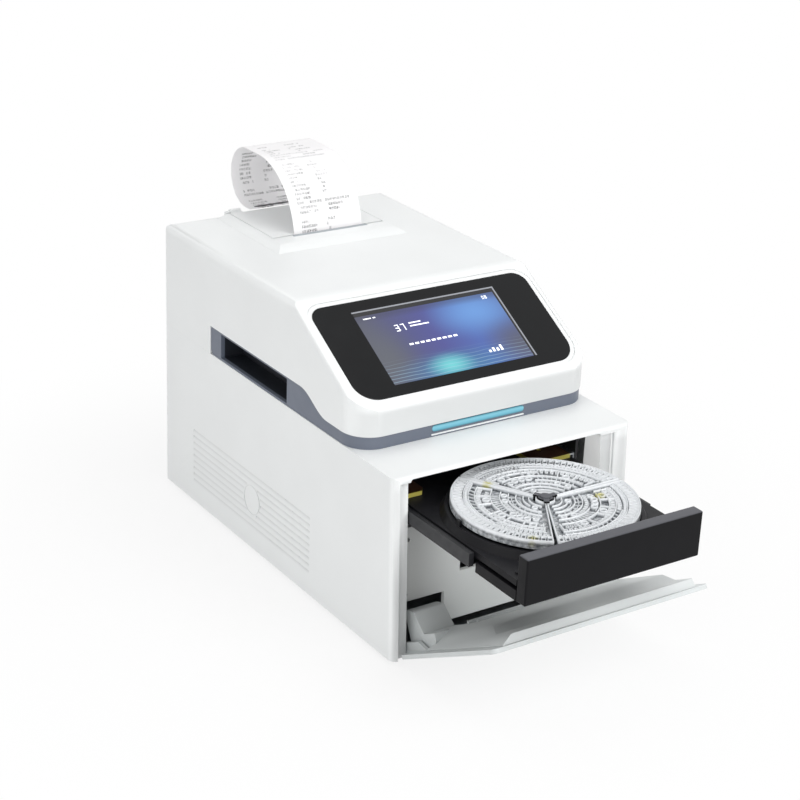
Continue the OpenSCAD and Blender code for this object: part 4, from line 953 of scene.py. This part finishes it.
def sector_plate(name, start, end, inner, outer, floor, thickness):
    """Flat sector between two radii, as a closed plate."""
    bm = bmesh.new()
    count = 60
    rings = []
    for i in range(count + 1):
        angle = start + (end - start) * i / count
        rings.append([bm.verts.new(polar(r, angle, z)) for r, z in (
            (inner, floor), (outer, floor), (outer, floor + thickness), (inner, floor + thickness))])
    for one, two in zip(rings, rings[1:]):
        for k in range(4):
            bm.faces.new((one[k], one[(k + 1) % 4], two[(k + 1) % 4], two[k]))
    bm.faces.new(rings[0])
    bm.faces.new(list(reversed(rings[-1])))
    bmesh.ops.recalc_face_normals(bm, faces=bm.faces)
    return link(name, mesh_from(bm, name))


def sector_walls(start, end):
    """Lines of one sector's walls by their height: (height in mm, lines). Places along the sector are
    shares of its span."""
    base = DISC_FLOOR + DISC_PLATE
    span = end - start

    def at(share):
        return start + span * share

    def arcs(rows):
        return [arc_line(radius, at(first), at(last), base) for radius, first, last in rows]

    def spoke(inner, outer, share, other_share):
        return [polar(inner, at(share), base), polar(outer, at(other_share), base)]

    high = [arc_line(59.4, start, end, base), arc_line(5.9, start + 8, end - 8, base)]
    for side, inward in ((start, 1), (end, -1)):
        high.append([polar(8, side + 3.2 * inward, base), polar(59.4, side + 0.3 * inward, base)])
    middle = [arc_line(51.4, start + 1, end - 1, base)]
    middle += arcs((
        (48.4, 0.06, 0.62), (44.4, 0.06, 0.96), (40.2, 0.5, 0.96), (34.6, 0.08, 0.9), (28.6, 0.08, 0.56),
        (23.4, 0.1, 0.92), (18.6, 0.1, 0.9), (14.0, 0.12, 0.6), (10.4, 0.14, 0.86)))
    low = arcs(((32.6, 0.56, 0.9), (26.2, 0.6, 0.9), (21.0, 0.16, 0.84), (16.2, 0.3, 0.86)))
    for share in (0.06, 0.2, 0.34, 0.5, 0.64, 0.78, 0.94):
        middle.append(spoke(34.6, 44.4, share, share + 0.01))
        low.append(spoke(18.6, 23.4, 0.1 + share * 0.8, 0.12 + share * 0.8))
    for share in (0.15 + 0.35 * i / 8 for i in range(9)):
        low.append(spoke(28.6, 34.6, share, share + 0.02))
    for share in (0.06 + 0.54 * i / 11 for i in range(12)):
        low.append(spoke(44.4, 48.4, share + 0.02, share))
    for radius, size, shares in (
            (31, 2.0, (0.62, 0.7, 0.78)), (29.5, 1.6, (0.86,)), (37.4, 2.2, (0.27, 0.57, 0.86)),
            (25.9, 1.8, (0.16, 0.3)), (14, 1.6, (0.72,))):
        middle += [ring_line(radius, at(share), size, base) for share in shares]
    return ((3.6, high), (2.9, middle), (1.7, low))


class ANALYZER_OT_disc(bpy.types.Operator):
    """Moulds the clear sectors of the reagent disc and their hub"""
    bl_idname = "analyzer.disc"
    bl_label = "Reagent disc"

    def execute(self, context):
        clear = clear_polystyrene("polystyrene, clear", colours().disc)
        ribs = draft_rib_tree(clear)
        cells = cell_row_tree(clear)
        for k in range(3):
            self.mould_sector(k, clear, ribs, cells)
        # The hub's upward faces take the same grey painted sheen as the drawer front.
        hub_black = satin_black("moulded ABS, hub black", colours().drawer, colours().painted_sheen)
        softened("disc_hub", hub_black, sizes().fine_edge)
        return {"FINISHED"}

    def mould_sector(self, k, clear, ribs, cells):
        """One sector: a plate with walls and rows of cells on it, short of the gap at both ends."""
        span, first_degree, gap = 120, -1, 1.2
        start = first_degree + k * span + gap
        end = first_degree + (k + 1) * span - gap
        node = f"disc_sector_{k + 1}"
        base = DISC_FLOOR + DISC_PLATE
        parts = [sector_plate(node + "_plate", start, end, 5.3, 59.9, DISC_FLOOR, DISC_PLATE)]
        for height, paths in sector_walls(start, end):
            parts.append(grow(lines(node + "_walls", paths), ribs, {"Height": height * MM}))
        # radius, share of the cuvette pitch, cell length, width and height, first and last degree
        rows = (
            (55.2, 1.0, 2.7, 5.6, 3.2, start + 2.6, end - 2.0),
            (58.4, 0.52, 1.1, 0.8, 3.3, start + 1.2, end - 1.2),
            (49.9, 0.62, 1.3, 1.6, 2.6, start + 3, end - 3),
            (42.2, 0.8, 1.9, 2.6, 2.3, start + 10, start + 56),
            (42.3, 0.98, 2.6, 2.8, 2.3, start + 64, end - 7),
            (46.4, 0.75, 1.8, 2.4, 2.3, start + 76, end - 5),
            (37.0, 0.7, 1.6, 2.2, 1.9, start + 14, start + 36),
            (25.9, 0.72, 1.5, 2.2, 2.0, start + 44, end - 14),
        )
        for radius, pitch, length, width, height, first, last in rows:
            line = lines(node + "_cells", [arc_line(radius, first, last, base)])
            parts.append(grow(line, cells, {
                "Pitch": pitch * sizes().cell_pitch, "Cell length": length * MM,
                "Cell width": width * MM, "Height": height * MM}))
        finish_piece(join(node + "_moulded", parts), clear, node)


def join(name, parts):
    """One piece from several; the parts are used up."""
    bm = bmesh.new()
    for part in parts:
        bm.from_mesh(part.data)
        bpy.data.objects.remove(part)
    bmesh.ops.recalc_face_normals(bm, faces=bm.faces)
    return link(name, mesh_from(bm, name))


# Paper

def turn_points(start, heading, radius, sweep, steps):
    """Points of an arc in side view (y, z) that leaves start at the heading and bends back down."""
    points = []
    for i in range(1, steps + 1):
        now = heading - sweep * i / steps
        points.append((start[0] + radius * (math.sin(heading) - math.sin(now)),
                       start[1] + radius * (math.cos(now) - math.cos(heading))))
    return points


def strip_path():
    """Middle line of the strip in millimetres: up from the slot, back over in a wide bend, and down
    to the lid."""
    slot, platen_z, top, lid_rise = 244.75, 199.0, 206.0, 4.4
    first_radius, heading, flat, tail = 54.0, math.radians(84), 18.0, 7.0
    path = [(slot, platen_z), (slot, top + 1)]
    path += turn_points(path[-1], heading, first_radius, heading, 40)
    path.append((path[-1][0] + flat, path[-1][1]))
    second_radius = (path[-1][1] - top - lid_rise) / 2
    path += turn_points(path[-1], 0.0, second_radius, math.pi, 48)
    path.append((path[-1][0] - tail, path[-1][1]))
    return path


class ANALYZER_OT_paper(bpy.types.Operator):
    """Curls the printed strip out of the slot and winds the roll"""
    bl_idname = "analyzer.paper"
    bl_label = "Paper"

    def execute(self, context):
        left = -PAPER_WIDTH / 2 * MM
        path = [Vector((left, (y - HALF_DEPTH) * MM, z * MM)) for y, z in strip_path()]
        length = sum((b - a).length for a, b in zip(path, path[1:]))
        paper = thermal_paper("thermal paper", colours().paper, sizes().print_pitch, length)
        strip = grow(lines("printed_strip", [path]), sheet_tree(paper))
        thicken(strip, 0.3 * MM)
        finish_piece(smooth(strip, 50), paper, "paper_strip")

        blank = blank_paper("thermal paper, unprinted", colours().paper)
        roll = grow(lines("wound_paper", [self.wound_path()]), sheet_tree(blank))
        thicken(roll, 0.38 * MM)
        finish_piece(smooth(roll, 50), blank, "paper_roll")
        return {"FINISHED"}

    def wound_path(self):
        """Spiral of the wound paper from the core to the outside."""
        core, outside, turns, steps = 6.6, 21.9, 26, 40
        low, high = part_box("paper_roll")
        middle = (low + high) / 2
        spiral = []
        for i in range(turns * steps + 1):
            angle = i / steps * 2 * math.pi
            radius = (core + (outside - core) * i / (turns * steps)) * MM
            spiral.append(Vector((
                low.x, middle.y + radius * math.cos(angle), middle.z + radius * math.sin(angle))))
        return spiral


def thicken(piece, thickness):
    """Gives a sheet its thickness, half to each side."""
    shell = piece.modifiers.new("thickness", "SOLIDIFY")
    shell.thickness = thickness
    shell.offset = 0
    freeze(piece)


# Stage

# Name, place, size and power of each lamp
LAMPS = (
    ("key", (0.7, -1.2, 1.5), 1.4, 15), ("top", (-0.1, 0.2, 1.8), 1.8, 9),
    ("left fill", (-1.7, -0.5, 0.7), 1.4, 6.5), ("front fill", (-0.5, -1.9, 0.35), 1.2, 11),
)
LAMP_AIM = Vector((0, -0.05, 0.1))


class ANALYZER_OT_stage(bpy.types.Operator):
    """Sets the floor, the soft studio light and the camera"""
    bl_idname = "analyzer.stage"
    bl_label = "Stage"

    def execute(self, context):
        make_floor()
        make_world()
        for name, place, size, power in LAMPS:
            area_light(name, place, size, power)
        make_camera()
        context.scene.view_settings.view_transform = "Standard"
        return {"FINISHED"}


def see_directly(tree):
    """1 for camera, mirror and glass rays, which see the backdrop itself."""
    path = add(tree, "ShaderNodeLightPath")
    first = maths(tree, "MAXIMUM", path.outputs["Is Camera Ray"], path.outputs["Is Glossy Ray"])
    return maths(tree, "MAXIMUM", first, path.outputs["Is Transmission Ray"])


def make_floor():
    """Pale floor that catches a soft shadow round the feet and fades to plain white."""
    reach = 6.0
    bm = bmesh.new()
    bmesh.ops.create_grid(bm, x_segments=1, y_segments=1, size=reach)
    floor = link("floor", mesh_from(bm, "floor"))
    material = bpy.data.materials.new("pale floor")
    material.use_nodes = True
    tree = material.node_tree
    tree.nodes.clear()
    lit = add(tree, "ShaderNodeBsdfDiffuse", inputs={"Color": (0.9, 0.9, 0.9, 1)})
    glow = add(tree, "ShaderNodeEmission", inputs={"Color": (1, 1, 1, 1), "Strength": 1.0})
    away = vector_maths(tree, "LENGTH", object_place(tree), (0, 0, 0)).outputs["Value"]
    share = times(tree, see_directly(tree), smooth_step(tree, away, 0.12, 0.42, 0.78, 1.0))
    mix = add(tree, "ShaderNodeMixShader", inputs={0: share, 1: lit.outputs[0], 2: glow.outputs[0]})
    add(tree, "ShaderNodeOutputMaterial", inputs={"Surface": mix.outputs[0]})
    floor.data.materials.append(material)


def make_world():
    """Soft light from all round; the backdrop itself is seen as plain white."""
    world = bpy.data.worlds.new("studio")
    bpy.context.scene.world = world
    world.use_nodes = True
    tree = world.node_tree
    tree.nodes.clear()
    soft = add(tree, "ShaderNodeBackground", inputs={"Color": (1, 1, 1, 1), "Strength": 0.44})
    seen = add(tree, "ShaderNodeBackground", inputs={"Color": (1, 1, 1, 1), "Strength": 1.0})
    mix = add(tree, "ShaderNodeMixShader", inputs={
        0: see_directly(tree), 1: soft.outputs[0], 2: seen.outputs[0]})
    add(tree, "ShaderNodeOutputWorld", inputs={"Surface": mix.outputs[0]})


def area_light(name, place, size, power):
    """Round soft lamp that faces the analyzer."""
    lamp = bpy.data.lights.new(name, "AREA")
    lamp.shape = "DISK"
    lamp.size = size
    lamp.energy = power
    holder = bpy.data.objects.new(name, lamp)
    bpy.context.scene.collection.objects.link(holder)
    holder.location = place
    aim = LAMP_AIM - holder.location
    holder.rotation_euler = aim.to_track_quat("-Z", "Y").to_euler()


# Camera that was fitted to the photo, in metres and unit vectors
CAMERA_PLACE = (-0.69997, -1.04232, 0.63976)
CAMERA_RIGHT = (0.83490, -0.54890, 0.04063)
CAMERA_UP = (0.18311, 0.34663, 0.91996)
LENS_MM = 86.45


def make_camera():
    """Camera at the photo's angle; its depth of field stays off."""
    data = bpy.data.cameras.new("photo view")
    data.lens = LENS_MM
    data.sensor_width = 36
    camera = bpy.data.objects.new("photo view", data)
    bpy.context.scene.collection.objects.link(camera)
    right, up = Vector(CAMERA_RIGHT), Vector(CAMERA_UP)
    back = right.cross(up)
    turn = Matrix((right, up, back)).transposed()
    camera.matrix_world = Matrix.Translation(CAMERA_PLACE) @ turn.to_4x4()
    bpy.context.scene.camera = camera


# Add-on

OPERATORS = (
    ANALYZER_OT_stage, ANALYZER_OT_shells, ANALYZER_OT_band, ANALYZER_OT_screen, ANALYZER_OT_bay,
    ANALYZER_OT_drawer, ANALYZER_OT_flap, ANALYZER_OT_disc, ANALYZER_OT_paper,
)


class ANALYZER_PT_panel(bpy.types.Panel):
    """Lists the steps that finish the analyzer"""
    bl_idname = "ANALYZER_PT_panel"
    bl_label = "Analyzer"
    bl_space_type = "VIEW_3D"
    bl_region_type = "UI"
    bl_category = "Analyzer"

    def draw(self, context):
        for step in OPERATORS:
            self.layout.operator(step.bl_idname)


CLASSES = (AnalyzerColours, AnalyzerSizes, *OPERATORS, ANALYZER_PT_panel)


def register():
    for kind in CLASSES:
        bpy.utils.register_class(kind)
    bpy.types.Scene.analyzer_colours = bpy.props.PointerProperty(type=AnalyzerColours)
    bpy.types.Scene.analyzer_sizes = bpy.props.PointerProperty(type=AnalyzerSizes)


def unregister():
    del bpy.types.Scene.analyzer_colours
    del bpy.types.Scene.analyzer_sizes
    for kind in reversed(CLASSES):
        bpy.utils.unregister_class(kind)


def main():
    """Runs every step in order."""
    register()
    for step in OPERATORS:
        group, name = step.bl_idname.split(".")
        getattr(getattr(bpy.ops, group), name)()


if __name__ == "__main__":
    main()
